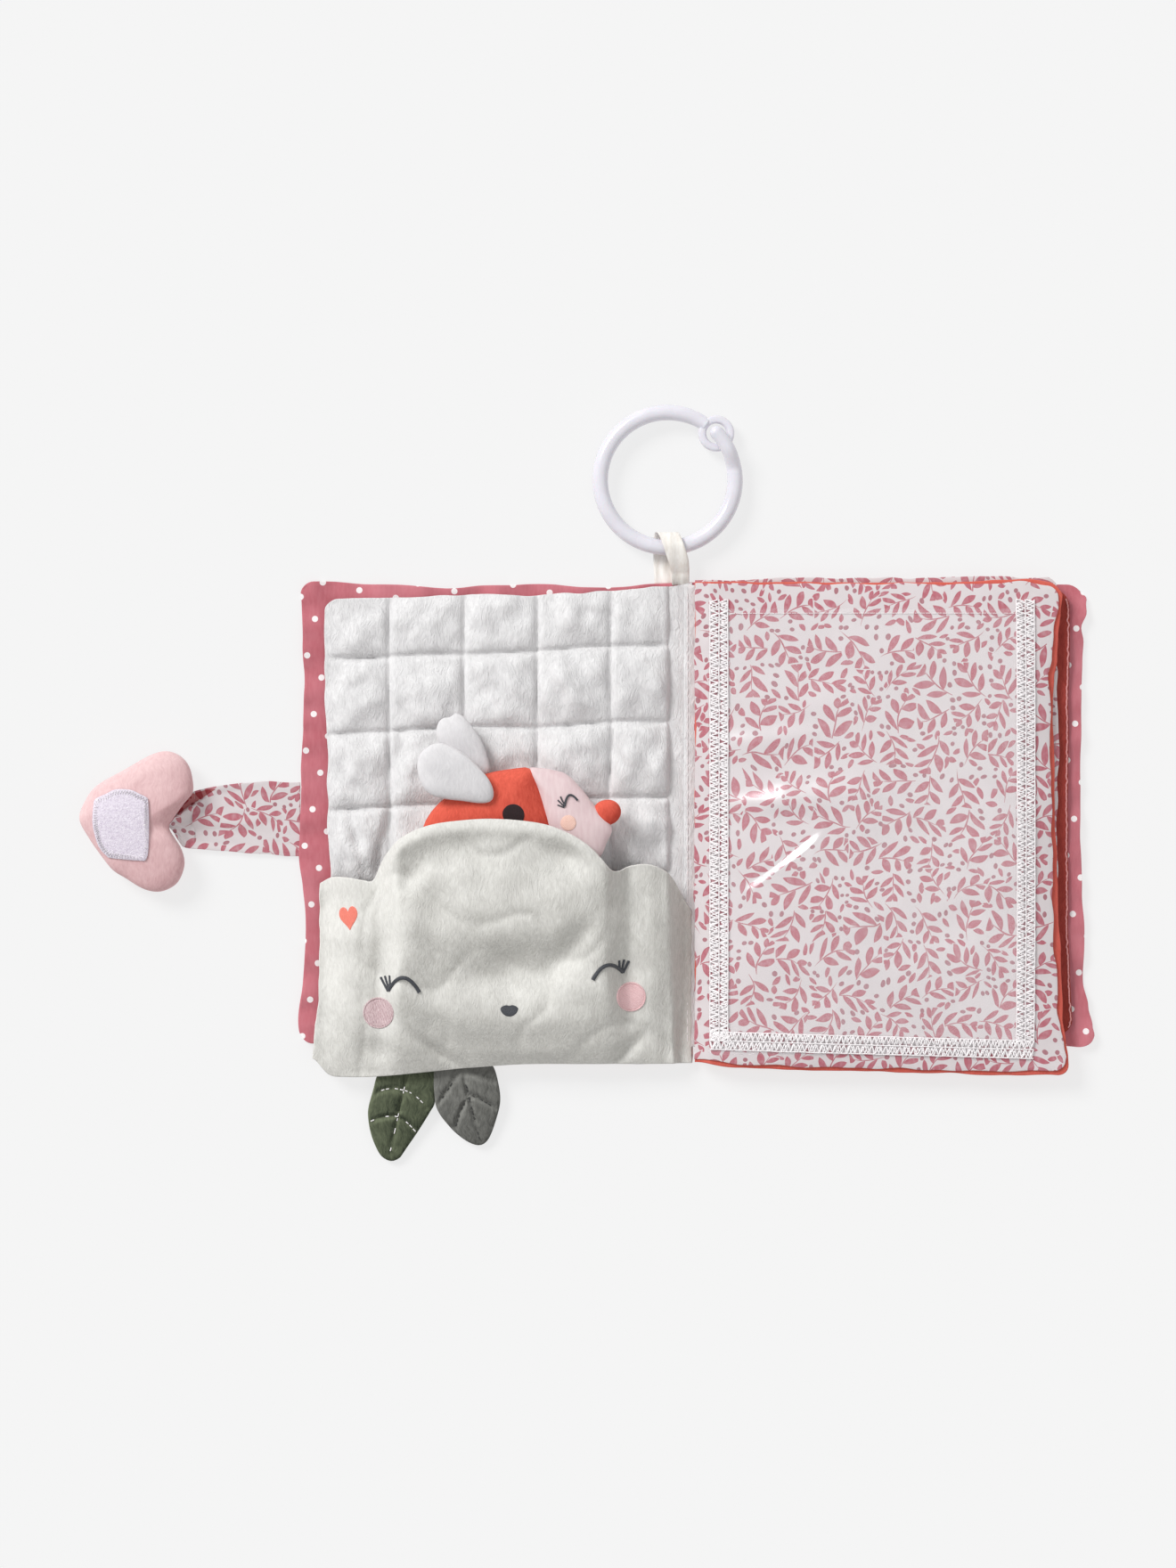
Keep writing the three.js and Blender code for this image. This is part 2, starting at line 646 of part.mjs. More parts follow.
// Ribbon loop from the top of the spine round the bottom of the ring
const loopInner = ringTube + ribbonClearance;
const loopOuter = loopInner + ribbonThickness;
const ringLevel = loopOuter;
const ribbonStart = halfCover + gap;
const tubeY = ribbonStart + ringReach;
const rootTop = ribbonRootLift + ribbonRoot;
const loopShape = new THREE.Shape();
loopShape.moveTo(ribbonStart, ribbonRootLift);
loopShape.lineTo(tubeY, 0);
loopShape.absarc(tubeY, ringLevel, loopOuter, -Math.PI / 2, Math.PI / 2, false);
loopShape.lineTo(ribbonStart + ribbonNeck, rootTop);
loopShape.lineTo(ribbonStart, rootTop);
const loopHole = new THREE.Path();
loopHole.moveTo(ribbonStart + ribbonNeck, (ribbonRootLift + rootTop) / 2);
loopHole.lineTo(tubeY, ribbonThickness);
loopHole.absarc(tubeY, ringLevel, loopInner, -Math.PI / 2, Math.PI / 2, false);
loopShape.holes.push(loopHole);
const ribbon = new THREE.ExtrudeGeometry(loopShape, {
  depth: ribbonWidth, bevelEnabled: false, curveSegments: 7,
});
ribbon.applyMatrix4(new THREE.Matrix4().makeBasis(
  new THREE.Vector3(0, 1, 0), new THREE.Vector3(0, 0, 1), new THREE.Vector3(1, 0, 0)));
ribbon.translate(-ringX - ribbonWidth / 2, 0, 0);
addPiece('ribbon_loop', geometryFrom(solidOf(ribbon)), look(colours.ribbon, 0.5));

// Split ring: one end is an eyelet, the other lies over it and dips into its hole
const ringY = tubeY + ringRadius;
const onRing = (angle, level) => new THREE.Vector3(
  ringRadius * Math.cos(angle) - ringX, ringY + ringRadius * Math.sin(angle), level);
const eyeletTop = ringLevel - eyeletDrop + eyeletThickness / 2;
const tipLevel = eyeletTop + gap + ringTube;
const turns = [];
const ringSteps = 34;
const startAngle = eyeletAngle + eyeletHalfAngle;
const endAngle = eyeletAngle + 2 * Math.PI;
for (let n = 0; n <= ringSteps; n += 1) {
  const angle = startAngle + (endAngle - startAngle) * n / ringSteps;
  const rise = smooth((angle - (endAngle - tipLiftAngle)) / (tipLiftAngle * tipLiftShare));
  turns.push(onRing(angle, ringLevel + (tipLevel - ringLevel) * rise));
}
const section = new THREE.Shape();
section.absarc(0, 0, ringTube, 0, 2 * Math.PI, false);
const tube = new THREE.ExtrudeGeometry(section, {
  steps: ringSteps, curveSegments: 5, bevelEnabled: false, extrudePath: new THREE.CatmullRomCurve3(turns),
});
const eyeletX = onRing(eyeletAngle, 0).x;
const eyeletY = onRing(eyeletAngle, 0).y;
const eyeletProfile = eyeletProfileShares.map(([out, up]) => new THREE.Vector2(
  eyeletHole + out * eyeletWall, up * eyeletThickness));
const eyelet = new THREE.LatheGeometry(eyeletProfile, 20);
eyelet.rotateX(Math.PI / 2);
eyelet.translate(eyeletX, eyeletY, ringLevel - eyeletDrop);
const tip = new THREE.SphereGeometry(ringTube, 12, 8);
tip.scale(1, 1, (ringTube + tipDip) / ringTube);
tip.translate(eyeletX, eyeletY, tipLevel - tipDip / 2);
addPiece('link_ring', geometryFrom(solidOf(tube).add(solidOf(eyelet)).add(solidOf(tip))),
  look(colours.ring, 0.25));

export default group;
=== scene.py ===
import bisect
import math

import bmesh
import bpy
from mathutils import Matrix, Vector, noise


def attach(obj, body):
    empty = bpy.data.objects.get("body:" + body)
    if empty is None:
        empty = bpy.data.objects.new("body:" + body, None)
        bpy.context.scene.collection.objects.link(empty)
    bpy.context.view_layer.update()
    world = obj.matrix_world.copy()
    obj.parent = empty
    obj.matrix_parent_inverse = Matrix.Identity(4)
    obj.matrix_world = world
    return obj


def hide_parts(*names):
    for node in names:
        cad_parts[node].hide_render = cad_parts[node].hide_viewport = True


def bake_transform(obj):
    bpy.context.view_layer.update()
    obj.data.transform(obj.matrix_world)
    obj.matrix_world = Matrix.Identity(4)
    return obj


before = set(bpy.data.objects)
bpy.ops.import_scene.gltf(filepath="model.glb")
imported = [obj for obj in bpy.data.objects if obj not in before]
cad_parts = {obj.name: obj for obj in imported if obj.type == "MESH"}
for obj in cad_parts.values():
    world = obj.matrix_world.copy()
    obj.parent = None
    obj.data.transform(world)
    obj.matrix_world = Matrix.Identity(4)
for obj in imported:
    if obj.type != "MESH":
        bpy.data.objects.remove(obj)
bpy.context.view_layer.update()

# Lengths below are millimetres in the book's frame: the origin is the middle of the spine's
# underside, +X runs to the back cover's fore edge, +Y to the top of the pages.
MM = 0.001
PHOTO_MIDDLE = (-38.9, 11.1)
PHOTO_HEIGHT = 575.5
PAGE_LEVEL = 15.0

BACK_COVER = (12.3, 146.0, -85.0, 85.0)
FRONT_COVER = (-146.0, -12.3, -85.0, 85.0)
LINING = (4.0, 138.5, -82.0, 83.5)
INNER_LEAF = (4.0, 135.0, -95.0, 85.0)
WINDOW_LEAF = (4.0, 137.7, -95.0, 85.0)
POCKET_LEAF = (-136.4, -4.0, -95.0, 85.0)


# Camera
def make_camera():
    distance = 1.7
    data = bpy.data.cameras.new("book_camera")
    data.sensor_width = 36.0
    data.lens = data.sensor_width * distance / (PHOTO_HEIGHT * MM)
    camera = bpy.data.objects.new("book_camera", data)
    camera.location = (PHOTO_MIDDLE[0] * MM, PHOTO_MIDDLE[1] * MM, distance + PAGE_LEVEL * MM)
    bpy.context.scene.collection.objects.link(camera)
    bpy.context.scene.camera = camera


make_camera()


# Fields and nodes
class Field:
    """What a node puts out. Sums and products of fields add the nodes that work them out."""

    def __init__(self, socket):
        self.socket, self.tree = socket, socket.id_data

    def out(self, name):
        """Another output of the same node."""
        return Field(self.socket.node.outputs[name])

    def __add__(self, other):
        return calc("ADD", self, other)

    def __sub__(self, other):
        return calc("SUBTRACT", self, other)

    def __rsub__(self, other):
        return calc("SUBTRACT", other, self)

    def __mul__(self, other):
        return calc("MULTIPLY", self, other)

    def __truediv__(self, other):
        return calc("DIVIDE", self, other)

    def __rtruediv__(self, other):
        return calc("DIVIDE", other, self)

    def power(self, exponent):
        return calc("POWER", calc("ABSOLUTE", self), exponent)

    def spread(self, low, high, to_low=0.0, to_high=1.0):
        return node(self.tree, "ShaderNodeMapRange", {
            "Value": self, "From Min": low, "From Max": high, "To Min": to_low, "To Max": to_high}, "Result")

    def mix(self, first, second):
        return node(self.tree, "ShaderNodeMix", {0: self, 6: first, 7: second}, 2, data_type="RGBA")

    def vector(self, operation, other):
        return node(self.tree, "ShaderNodeVectorMath", {0: self, 1: other}, operation=operation)

    def scaled(self, share):
        return node(self.tree, "ShaderNodeVectorMath", {0: self, 3: share}, operation="SCALE")

    def turned(self, angle):
        return node(self.tree, "ShaderNodeVectorRotate", {"Vector": self, "Angle": angle},
                    rotation_type="Z_AXIS")

    def plane(self):
        x = node(self.tree, "ShaderNodeSeparateXYZ", {0: self})
        return x, x.out("Y")


def fill(made, values):
    """Sets a node's inputs, each to a value or to a link from a field."""
    for socket, value in values.items():
        if isinstance(value, Field):
            value.tree.links.new(value.socket, made.inputs[socket])
        else:
            made.inputs[socket].default_value = value


def node(tree, kind, values=None, output=0, **settings):
    """Adds a node and gives one of its outputs."""
    made = tree.nodes.new(kind)
    for setting, value in settings.items():
        setattr(made, setting, value)
    fill(made, values or {})
    return Field(made.outputs[output])


def calc(operation, *values):
    tree = next(value.tree for value in values if isinstance(value, Field))
    return node(tree, "ShaderNodeMath", dict(enumerate(values)), operation=operation)


def screen(red, green, blue):
    """A screen colour from 0 to 255 as the shader's linear colour."""
    levels = [level / 255 for level in (red, green, blue)]
    return (*(level / 12.92 if level <= 0.04045 else ((level + 0.055) / 1.055) ** 2.4 for level in levels), 1.0)


def grain(place, scale, detail=2.0, stretch=(1.0, 1.0, 1.0), roughness=0.5):
    """Noise on a place, finer along the axes with a large stretch."""
    mapped = node(place.tree, "ShaderNodeMapping", {"Vector": place, "Scale": stretch})
    return node(place.tree, "ShaderNodeTexNoise", {
        "Vector": mapped, "Scale": scale, "Detail": detail, "Roughness": roughness}, "Fac")


def cells(place, pitch, jitter, output, **settings):
    """Cells about a pitch across, scattered by jitter."""
    values = {"Vector": place, "Scale": 1.0 / pitch, "Randomness": jitter}
    return node(place.tree, "ShaderNodeTexVoronoi", values, output, voronoi_dimensions="2D", **settings)


def chances(place_in_cell):
    """Two chances from 0 to 1 of a cell."""
    red = node(place_in_cell.tree, "ShaderNodeSeparateColor", {0: place_in_cell.out("Color")})
    return red, red.out("Green")


def group(name, work, **takes):
    """A node group that works out named fields from its inputs, which are given with their usual values."""
    tree = bpy.data.node_groups.new(name, "ShaderNodeTree")
    for socket, value in takes.items():
        kind = "Float" if isinstance(value, float) else {3: "Vector", 4: "Color"}[len(value)]
        made = tree.interface.new_socket(socket, in_out="INPUT", socket_type="NodeSocket" + kind)
        made.default_value = value
    entry = tree.nodes.new("NodeGroupInput").outputs
    gives = work(*(Field(entry[socket]) for socket in takes))
    for socket in gives:
        kind = "Color" if socket == "Colour" else "Float"
        tree.interface.new_socket(socket, in_out="OUTPUT", socket_type="NodeSocket" + kind)
    fill(tree.nodes.new("NodeGroupOutput"), gives)
    return tree


def use(made_group, place, **values):
    made = place.tree.nodes.new("ShaderNodeGroup")
    made.node_tree = made_group
    fill(made, {"Place": place, **values})
    return {output.name: Field(output) for output in made.outputs}


# Effects that several finishes share
def brushed_pile(place, light, deep, length, light_side):
    """Short plush pile, brushed along Y, in soft tufts, with painted light and shade: lighter where the surface
    faces the light, darker where it faces away.
    """
    bend = node(place.tree, "ShaderNodeCombineXYZ", {"X": grain(place, 0.12) * 6.0})
    bent = place.vector("ADD", bend)
    strands = grain(bent, 1.0, 3.0, (1.7, 0.34, 1.7), 0.65)
    tufts = grain(bent, 0.5, 2.0, (1.4, 0.6, 1.4))
    # Random patches of tone, plus painted light and shade: lighter where the surface faces the light, darker
    # where it faces away.
    patches_and_painted_light = (grain(place, 0.11) - 0.5) * 0.6 + light_side
    shade = strands.spread(0.3, 0.7) * 0.32 + tufts.spread(0.3, 0.7) * 0.18 + patches_and_painted_light.spread(0.15, 0.85) * 0.5
    return {"Colour": shade.mix(deep, light), "Height": (strands * 0.8 + tufts * 0.3) * length}


def plain_weave(place, pitch):
    """Two sets of threads crossing over and under."""
    x, y = place.plane()
    step = 2 * math.pi / pitch
    slub = grain(place, 0.9, 3.0, (1.0, 0.25, 1.0))
    return {"Height": calc("SINE", x * step) * calc("SINE", y * step) * 0.5 + slub * 0.5, "Slub": slub}


def staggered_dots(place, pitch, radius):
    """Round dots on a staggered lattice."""
    masks = []
    for shift in (100.0, 100.5):
        across, along = (calc("FRACT", spot / pitch + shift) - 0.5 for spot in place.turned(0.21).plane())
        reach = calc("SQRT", across.power(2.0) + along.power(2.0)) * pitch
        masks.append((radius - reach).spread(-0.06, 0.06))
    return {"Mask": calc("MAXIMUM", *masks)}


def print_leaf(place, root, turn, length, width):
    """How far a place is inside one pointed leaf: above 0 inside, falling off outside."""
    x, y = place.vector("SUBTRACT", root).turned(turn * -1.0).plane()
    belly = 1.0 - (x * 2.0 / length - 1.0).power(2.2)
    return {"Depth": belly * width * 0.5 - calc("ABSOLUTE", y)}


def print_sprig(place, pitch, jitter, size):
    """How far a place is inside a small sprig of six leaves on a bent stalk, one in each cell."""
    middle = cells(place, pitch, jitter, "Position")
    turn, growth = chances(middle)
    local = place.vector("SUBTRACT", middle).turned(turn * (2 * math.pi))
    x, y = local.scaled(growth.spread(0.0, 1.0, 0.88, 1.1) / size).plane()
    bent = node(place.tree, "ShaderNodeCombineXYZ", {"X": x, "Y": x.power(2.0) * 0.035 + y})
    depth = use(leaf, bent, Root=(-6.4, 0.0, 0.0), Length=10.2, Width=0.34)["Depth"]
    for root_x, root_y, lean, length, width in (
            (-4.0, 0.1, 0.82, 4.9, 1.7), (-2.9, -0.1, -0.78, 5.2, 1.85), (-0.5, 0.1, 0.78, 5.0, 1.8),
            (0.7, -0.1, -0.74, 4.4, 1.65), (2.7, 0.1, 0.55, 3.7, 1.45), (3.1, 0.0, -0.25, 4.2, 1.55)):
        one = use(leaf, bent, Root=(root_x, root_y, 0.0), Turn=lean, Length=length, Width=width)
        depth = calc("MAXIMUM", depth, one["Depth"])
    edge = cells(place, pitch, jitter, "Distance", feature="DISTANCE_TO_EDGE")
    return {"Depth": calc("MINIMUM", depth, edge * pitch - 0.25)}


def ditsy_print(place, ground, leaf_tone, dot):
    """A small print of leafy sprigs, with single leaves and round dots in the gaps between them."""
    def sprigs_at(spot):
        return use(sprig, spot, Pitch=12.8, Jitter=0.38, Size=1.3)["Depth"]

    sway = node(place.tree, "ShaderNodeTexNoise", {"Vector": place, "Scale": 0.05, "Detail": 1.0}, "Color")
    swayed = place.vector("ADD", sway.scaled(9.0))
    gap_pitch = 3.6
    middle = cells(swayed, gap_pitch, 0.7, "Position")
    turn, kind = chances(middle)
    sprigs = sprigs_at(swayed)
    room = sprigs_at(middle) * -1.0
    local = swayed.vector("SUBTRACT", middle).turned(turn * (2 * math.pi))
    single = use(leaf, local, Root=(-2.1, 0.0, 0.0), Length=4.2, Width=1.7)["Depth"]
    shown = calc("GREATER_THAN", kind, 0.55) * calc("GREATER_THAN", room, 0.8)
    single = calc("MINIMUM", calc("MINIMUM", single, sprigs * -1.0 - 0.35), shown.spread(0.0, 1.0, -1.0, 1.0))
    depth = calc("MAXIMUM", sprigs, single)
    dotted = calc("LESS_THAN", kind, 0.55) * calc("GREATER_THAN", room, 0.75)
    dot_mask = (0.86 - middle.out("Distance") * gap_pitch).spread(-0.04, 0.06) * dotted
    veined = (depth.spread(0.0, 0.45) * 0.35).mix(leaf_tone, screen(192, 118, 131))
    worn = grain(place, 0.5, 3.0).spread(0.45, 0.75, 0.0, 0.22).mix(veined, ground)
    return {"Colour": depth.spread(-0.04, 0.06).mix(dot_mask.mix(ground, dot), worn)}


def satin_stitch(place, turn, light, deep):
    """Rows of embroidery thread, lying close together, with painted sheen and shade: lighter strands and row
    middles, darker between the rows.
    """
    turned = place.turned(turn)
    row = turned.plane()[0] * 13.0 + grain(turned, 0.5) * 9.0
    strand = grain(turned, 1.6, 3.0, (2.5, 0.6, 1.0), 0.7)
    # Painted sheen and shade: the colour follows the rows and the strands, which also give the bump.
    rows_and_painted_sheen = (calc("SINE", row) * 0.5 + 0.5) * 0.45 + strand.spread(0.3, 0.68) * 0.55
    return {"Colour": rows_and_painted_sheen.mix(deep, light), "Height": rows_and_painted_sheen}


NOWHERE = (0.0, 0.0, 0.0)
PALE, DIM = screen(240, 240, 240), screen(190, 190, 190)
pile = group("brushed_pile", brushed_pile, Place=NOWHERE, Light=PALE, Deep=DIM, Length=1.6, Nap=0.5)
weave = group("plain_weave", plain_weave, Place=NOWHERE, Pitch=0.42)
dots = group("staggered_dots", staggered_dots, Place=NOWHERE, Pitch=13.8, Radius=1.15)
leaf = group("print_leaf", print_leaf, Place=NOWHERE, Root=NOWHERE, Turn=0.0, Length=5.0, Width=1.8)
sprig = group("print_sprig", print_sprig, Place=NOWHERE, Pitch=13.0, Jitter=0.3, Size=1.0)
ditsy = group("ditsy_print", ditsy_print, Place=NOWHERE, Ground=screen(220, 212, 213),
              Leaf=screen(183, 102, 113), Dot=screen(172, 118, 126))
stitch = group("satin_stitch", satin_stitch, Place=NOWHERE, Turn=0.0, Light=PALE, Deep=DIM)


# Finishes
def material(name, look, depth, strength=1.0):
    """A material: look takes the place that patterns follow, in millimetres, and gives a height and values."""
    made = bpy.data.materials.new(name)
    made.use_nodes = True
    tree = made.node_tree
    tree.nodes.clear()
    shader = tree.nodes.new("ShaderNodeBsdfPrincipled")
    tree.links.new(shader.outputs[0], tree.nodes.new("ShaderNodeOutputMaterial").inputs["Surface"])
    height, values = look(node(tree, "ShaderNodeAttribute", None, "Vector", attribute_name="lay"))
    normal = node(tree, "ShaderNodeBump", {"Height": height, "Distance": depth * MM, "Strength": strength})
    fill(shader, {**values, "Normal": normal})
    return made


def plush(name, light, deep, length, depth, sheen, sheen_tint=(255, 255, 255)):
    def look(place):
        # How much the surface faces the light: painted light and shade on the pile.
        light_side = node(place.tree, "ShaderNodeAttribute", None, "Fac", attribute_name="light_side")
        cloth = use(pile, place, Light=screen(*light), Deep=screen(*deep), Length=length, Nap=light_side)
        return cloth["Height"], {
            "Base Color": cloth["Colour"], "Roughness": 0.95, "Sheen Weight": sheen, "Sheen Roughness": 0.4,
            "Sheen Tint": screen(*sheen_tint), "Specular IOR Level": 0.2}
    return material(name, look, depth)


def dotted(place):
    cloth = use(weave, place, Pitch=0.5)
    ground = grain(place, 0.04, 3.0).spread(0.35, 0.65).mix(screen(190, 104, 114), screen(204, 122, 132))
    ground = cloth["Slub"].spread(0.35, 0.7, 0.0, 0.22).mix(ground, screen(218, 148, 156))
    return cloth["Height"], {
        "Base Color": use(dots, place)["Mask"].mix(ground, screen(250, 244, 244)), "Roughness": 0.85,
        "Sheen Weight": 0.12, "Specular IOR Level": 0.25}


def printed_cotton(name, shade):
    def look(place):
        cloth = use(weave, place, Pitch=0.45)
        thin = cloth["Slub"].spread(0.4, 0.7, 0.0, 0.1).mix(use(ditsy, place)["Colour"], screen(226, 214, 220))
        # shade multiplies the print's colour: white leaves it plain, the dark red one is painted shade.
        shaded = node(place.tree, "ShaderNodeMix", {0: 1.0, 6: thin, 7: shade}, 2, data_type="RGBA",
                      blend_type="MULTIPLY")
        return cloth["Height"], {
            "Base Color": shaded, "Roughness": 0.85, "Sheen Weight": 0.08, "Specular IOR Level": 0.25}
    return material(name, look, 0.08, 0.8)


def satin(name, light, deep, roughness):
    def look(place):
        streak = grain(place, 0.6, 3.0, (1.4, 0.25, 1.0))
        return use(weave, place, Pitch=0.24)["Height"], {
            "Base Color": streak.spread(0.35, 0.65).mix(screen(*deep), screen(*light)),
            "Roughness": streak.spread(0.3, 0.7, roughness - 0.08, roughness + 0.1),
            "Sheen Weight": 0.25, "Sheen Roughness": 0.3, "Specular IOR Level": 0.4}
    return material(name, look, 0.04, 0.6)


def embroidery(name, light, deep, turn, roughness=0.5):
    def look(place):
        threads = use(stitch, place, Light=screen(*light), Deep=screen(*deep), Turn=turn)
        return threads["Height"], {
            "Base Color": threads["Colour"], "Roughness": roughness, "Sheen Weight": 0.15}
    return material(name, look, 0.14)


def sewing_thread(name, light, deep):
    """Twisted sewing thread."""
    def look(place):
        ply = grain(place, 2.6, 2.0, roughness=0.6)
        return ply, {
            "Base Color": ply.spread(0.35, 0.65).mix(screen(*deep), screen(*light)), "Roughness": 0.6,
            "Sheen Weight": 0.2}
    return material(name, look, 0.1)


def loops(place):
    """Hook and loop tape: a field of fine tangled loops."""
    tangle = node(place.tree, "ShaderNodeTexVoronoi", {"Vector": place, "Scale": 2.2}, "Distance")
    fuzz = grain(place, 1.1, 4.0, roughness=0.7)
    return tangle * 0.6 + fuzz, {
        "Base Color": fuzz.spread(0.35, 0.65).mix(screen(214, 203, 219), screen(240, 233, 243)),
        "Roughness": 0.6, "Sheen Weight": 0.3}


def clear_film(place):
    """Thin clear film: almost nothing but its gloss shows."""
    gloss = node(place.tree, "ShaderNodeFresnel", {"IOR": 1.55})
    haze = grain(place, 0.3, 3.0).spread(0.4, 0.8, 0.0, 0.015)
    camera = node(place.tree, "ShaderNodeLightPath", None, "Is Camera Ray")
    seen = calc("MAXIMUM", camera, camera.out("Is Glossy Ray"))
    return grain(place, 0.035), {
        "Base Color": screen(252, 252, 255), "Metallic": 1.0, "Roughness": 0.22,
        "Alpha": calc("MINIMUM", gloss + haze, 0.16) * seen}


def glossy_plastic(place):
    flow = grain(place, 0.08)
    return grain(place, 3.0), {
        "Base Color": flow.spread(0.35, 0.65).mix(screen(222, 220, 228), screen(230, 228, 236)),
        "Roughness": flow.spread(0.3, 0.7, 0.2, 0.32), "Coat Weight": 0.3, "Coat Roughness": 0.12,
        "Subsurface Weight": 0.05, "Subsurface Scale": 0.002}


cotton = material("dotted_cotton", dotted, 0.09, 0.8)
print_cloth = printed_cotton("printed_cotton", (1, 1, 1, 1))
# The print darkened to a deep red by painted shade, for the underside of the fold by the heart.
print_in_painted_shade = printed_cotton("printed_cotton_in_painted_shade", (0.62, 0.24, 0.24, 1))
wing_plush = plush("wing_plush", (234, 232, 233), (202, 200, 202), 0.7, 0.3, 0.2)
white_plush = plush("white_plush", (246, 245, 245), (208, 206, 207), 1.0, 0.8, 0.25)
cream_plush = plush("cream_plush", (240, 239, 234), (190, 188, 182), 0.9, 0.5, 0.2)
red_plush = plush("red_plush", (186, 84, 74), (130, 46, 41), 0.8, 0.4, 0.15, (220, 140, 130))
coral_plush = plush("coral_plush", (222, 112, 98), (196, 84, 73), 0.8, 0.4, 0.3, (255, 190, 170))
bird_velour = plush("bird_velour", (236, 108, 88), (178, 56, 44), 0.5, 0.25, 0.3, (255, 180, 160))
heart_velour = plush("heart_velour", (244, 212, 212), (204, 158, 161), 0.4, 0.15, 0.25)
green_velvet = plush("green_velvet", (120, 128, 102), (18, 26, 20), 0.7, 0.5, 0.2, (200, 210, 180))
grey_velvet = plush("grey_velvet", (144, 144, 139), (60, 60, 57), 0.6, 0.35, 0.2)
head_satin = satin("head_satin", (231, 209, 210), (224, 198, 200), 0.45)
ribbon_satin = satin("ribbon_satin", (248, 245, 240), (234, 228, 220), 0.4)
white_thread = sewing_thread("white_thread", (255, 253, 253), (248, 242, 244))
rose_thread = sewing_thread("rose_thread", (236, 168, 166), (208, 130, 130))
grey_thread = sewing_thread("grey_thread", (50, 50, 50), (28, 28, 28))
dark_thread = embroidery("dark_thread", (66, 70, 78), (24, 27, 34), 0.8)
plum_thread = embroidery("plum_thread", (40, 4, 12), (12, 0, 3), 0.3, 0.85)
coral_stitch = embroidery("coral_stitch", (250, 150, 130), (226, 96, 80), 0.5)
# Painted highlights: its wide range from light to deep paints glints on the stitches.
rose_stitch = embroidery("rose_stitch", (250, 232, 233), (150, 98, 106), 0.2)
blush_stitch = embroidery("blush_stitch", (246, 214, 214), (218, 168, 172), 1.2)
peach_stitch = embroidery("peach_stitch", (252, 218, 204), (238, 186, 168), 0.9)
tape = material("loop_tape", loops, 0.25)
vinyl = material("clear_vinyl", clear_film, 0.7)
plastic = material("ring_plastic", glossy_plastic, 0.008)


# Heights of the layers
def crown(plan, x, y):
    """1 in the middle of a plan, 0 at its edges and beyond them."""
    across = abs(2 * x - plan[0] - plan[1]) / (plan[1] - plan[0])
    along = abs(2 * y - plan[2] - plan[3]) / (plan[3] - plan[2])
    return max(0.0, 1 - across ** 3) * max(0.0, 1 - along ** 3)


def smooth(share):
    share = min(1.0, max(0.0, share))
    return share * share * (3 - 2 * share)


def rough(x, y, z):
    """Smooth noise from -1 to 1."""
    return noise.noise(Vector((x, y, z)))


def lump(x, y, size, seed):
    """Soft bumps from -1 to 1, about size across."""
    return rough(x / size + seed, y / size - seed, seed * 1.7)


def pucker(plan, x, y, pitch, reach, seed):
    """Gathers that run in from the edges of a plan and die out."""
    total = 0.0
    for away, along, shift in ((x - plan[0], y, 0.0), (plan[1] - x, y, 3.1),
                               (y - plan[2], x, 6.3), (plan[3] - y, x, 9.7)):
        depth = away / reach
        total += math.exp(-max(0.0, depth)) * rough(along / pitch, depth * 0.4, seed + shift)
    return total


def cover_top(plan, x, y):
    return 2.7 + 2 * crown(plan, x, y)


def lining_top(x, y):
    return 4.6 + 2 * crown(BACK_COVER, x, y)


def inner_top(x, y):
    return lining_top(x, y) + 2.6 + 3 * crown(INNER_LEAF, x, y)


def window_top(x, y):
    return inner_top(x, y) + 2.6 + 3 * crown(WINDOW_LEAF, x, y)


def pocket_leaf_under(x, y):
    return 3.0 + 2 * crown(FRONT_COVER, x, y)


def pocket_leaf_cloth(x, y):
    return pocket_leaf_under(x, y) + 2.5 + 3 * crown(POCKET_LEAF, x, y)


QUILT_X = POCKET_LEAF[0] + 24.6
QUILT_Y = POCKET_LEAF[3] - 26.5


def quilt_edge(x, y):
    return min(1.0, 4 * crown(POCKET_LEAF, x, y))


def quilt_envelope(x, y):
    return pocket_leaf_cloth(x, y) + 2.2 * quilt_edge(x, y)


# Building pieces
# The way the light comes from, up and to the left: pile that faces it is painted lighter, pile that faces away
# painted darker.
LIGHT_SIDE = Vector((-0.6, 0.95, 0.0))


def page(px, py):
    """A place on the page from its place in the picture of 1320 by 1760."""
    return (px - 779) * 0.327, (914 - py) * 0.327


def arc(first, peak, last, count=26):
    """Points on the curve through three places."""
    first, peak, last = (Vector(page(*spot)) for spot in (first, peak, last))
    bend = 2 * peak - (first + last) / 2
    return [tuple((1 - t) ** 2 * first + 2 * t * (1 - t) * bend + t * t * last)
            for t in (n / count for n in range(count + 1))]


def finish_piece(name, form, finish):
    """Turns a form in millimetres into a piece in metres, smooth, its patterns laid where it is now."""
    bmesh.ops.recalc_face_normals(form, faces=form.faces)
    mesh = bpy.data.meshes.new(name)
    form.to_mesh(mesh)
    form.free()
    lay = mesh.attributes.new("lay", "FLOAT_VECTOR", "POINT")
    lay.data.foreach_set("vector", [value for vertex in mesh.vertices for value in vertex.co])
    # Painted light and shade: 0.5 plus how far each point faces up and to the left, toward the light.
    light_side = mesh.attributes.new("light_side", "FLOAT", "POINT")
    light_side.data.foreach_set("value", [0.5 + LIGHT_SIDE.dot(vertex.normal) for vertex in mesh.vertices])
    mesh.transform(Matrix.Scale(MM, 4))
    mesh.shade_smooth()
    mesh.materials.append(finish)
    piece = bpy.data.objects.new(name, mesh)
    bpy.context.scene.collection.objects.link(piece)
    return piece


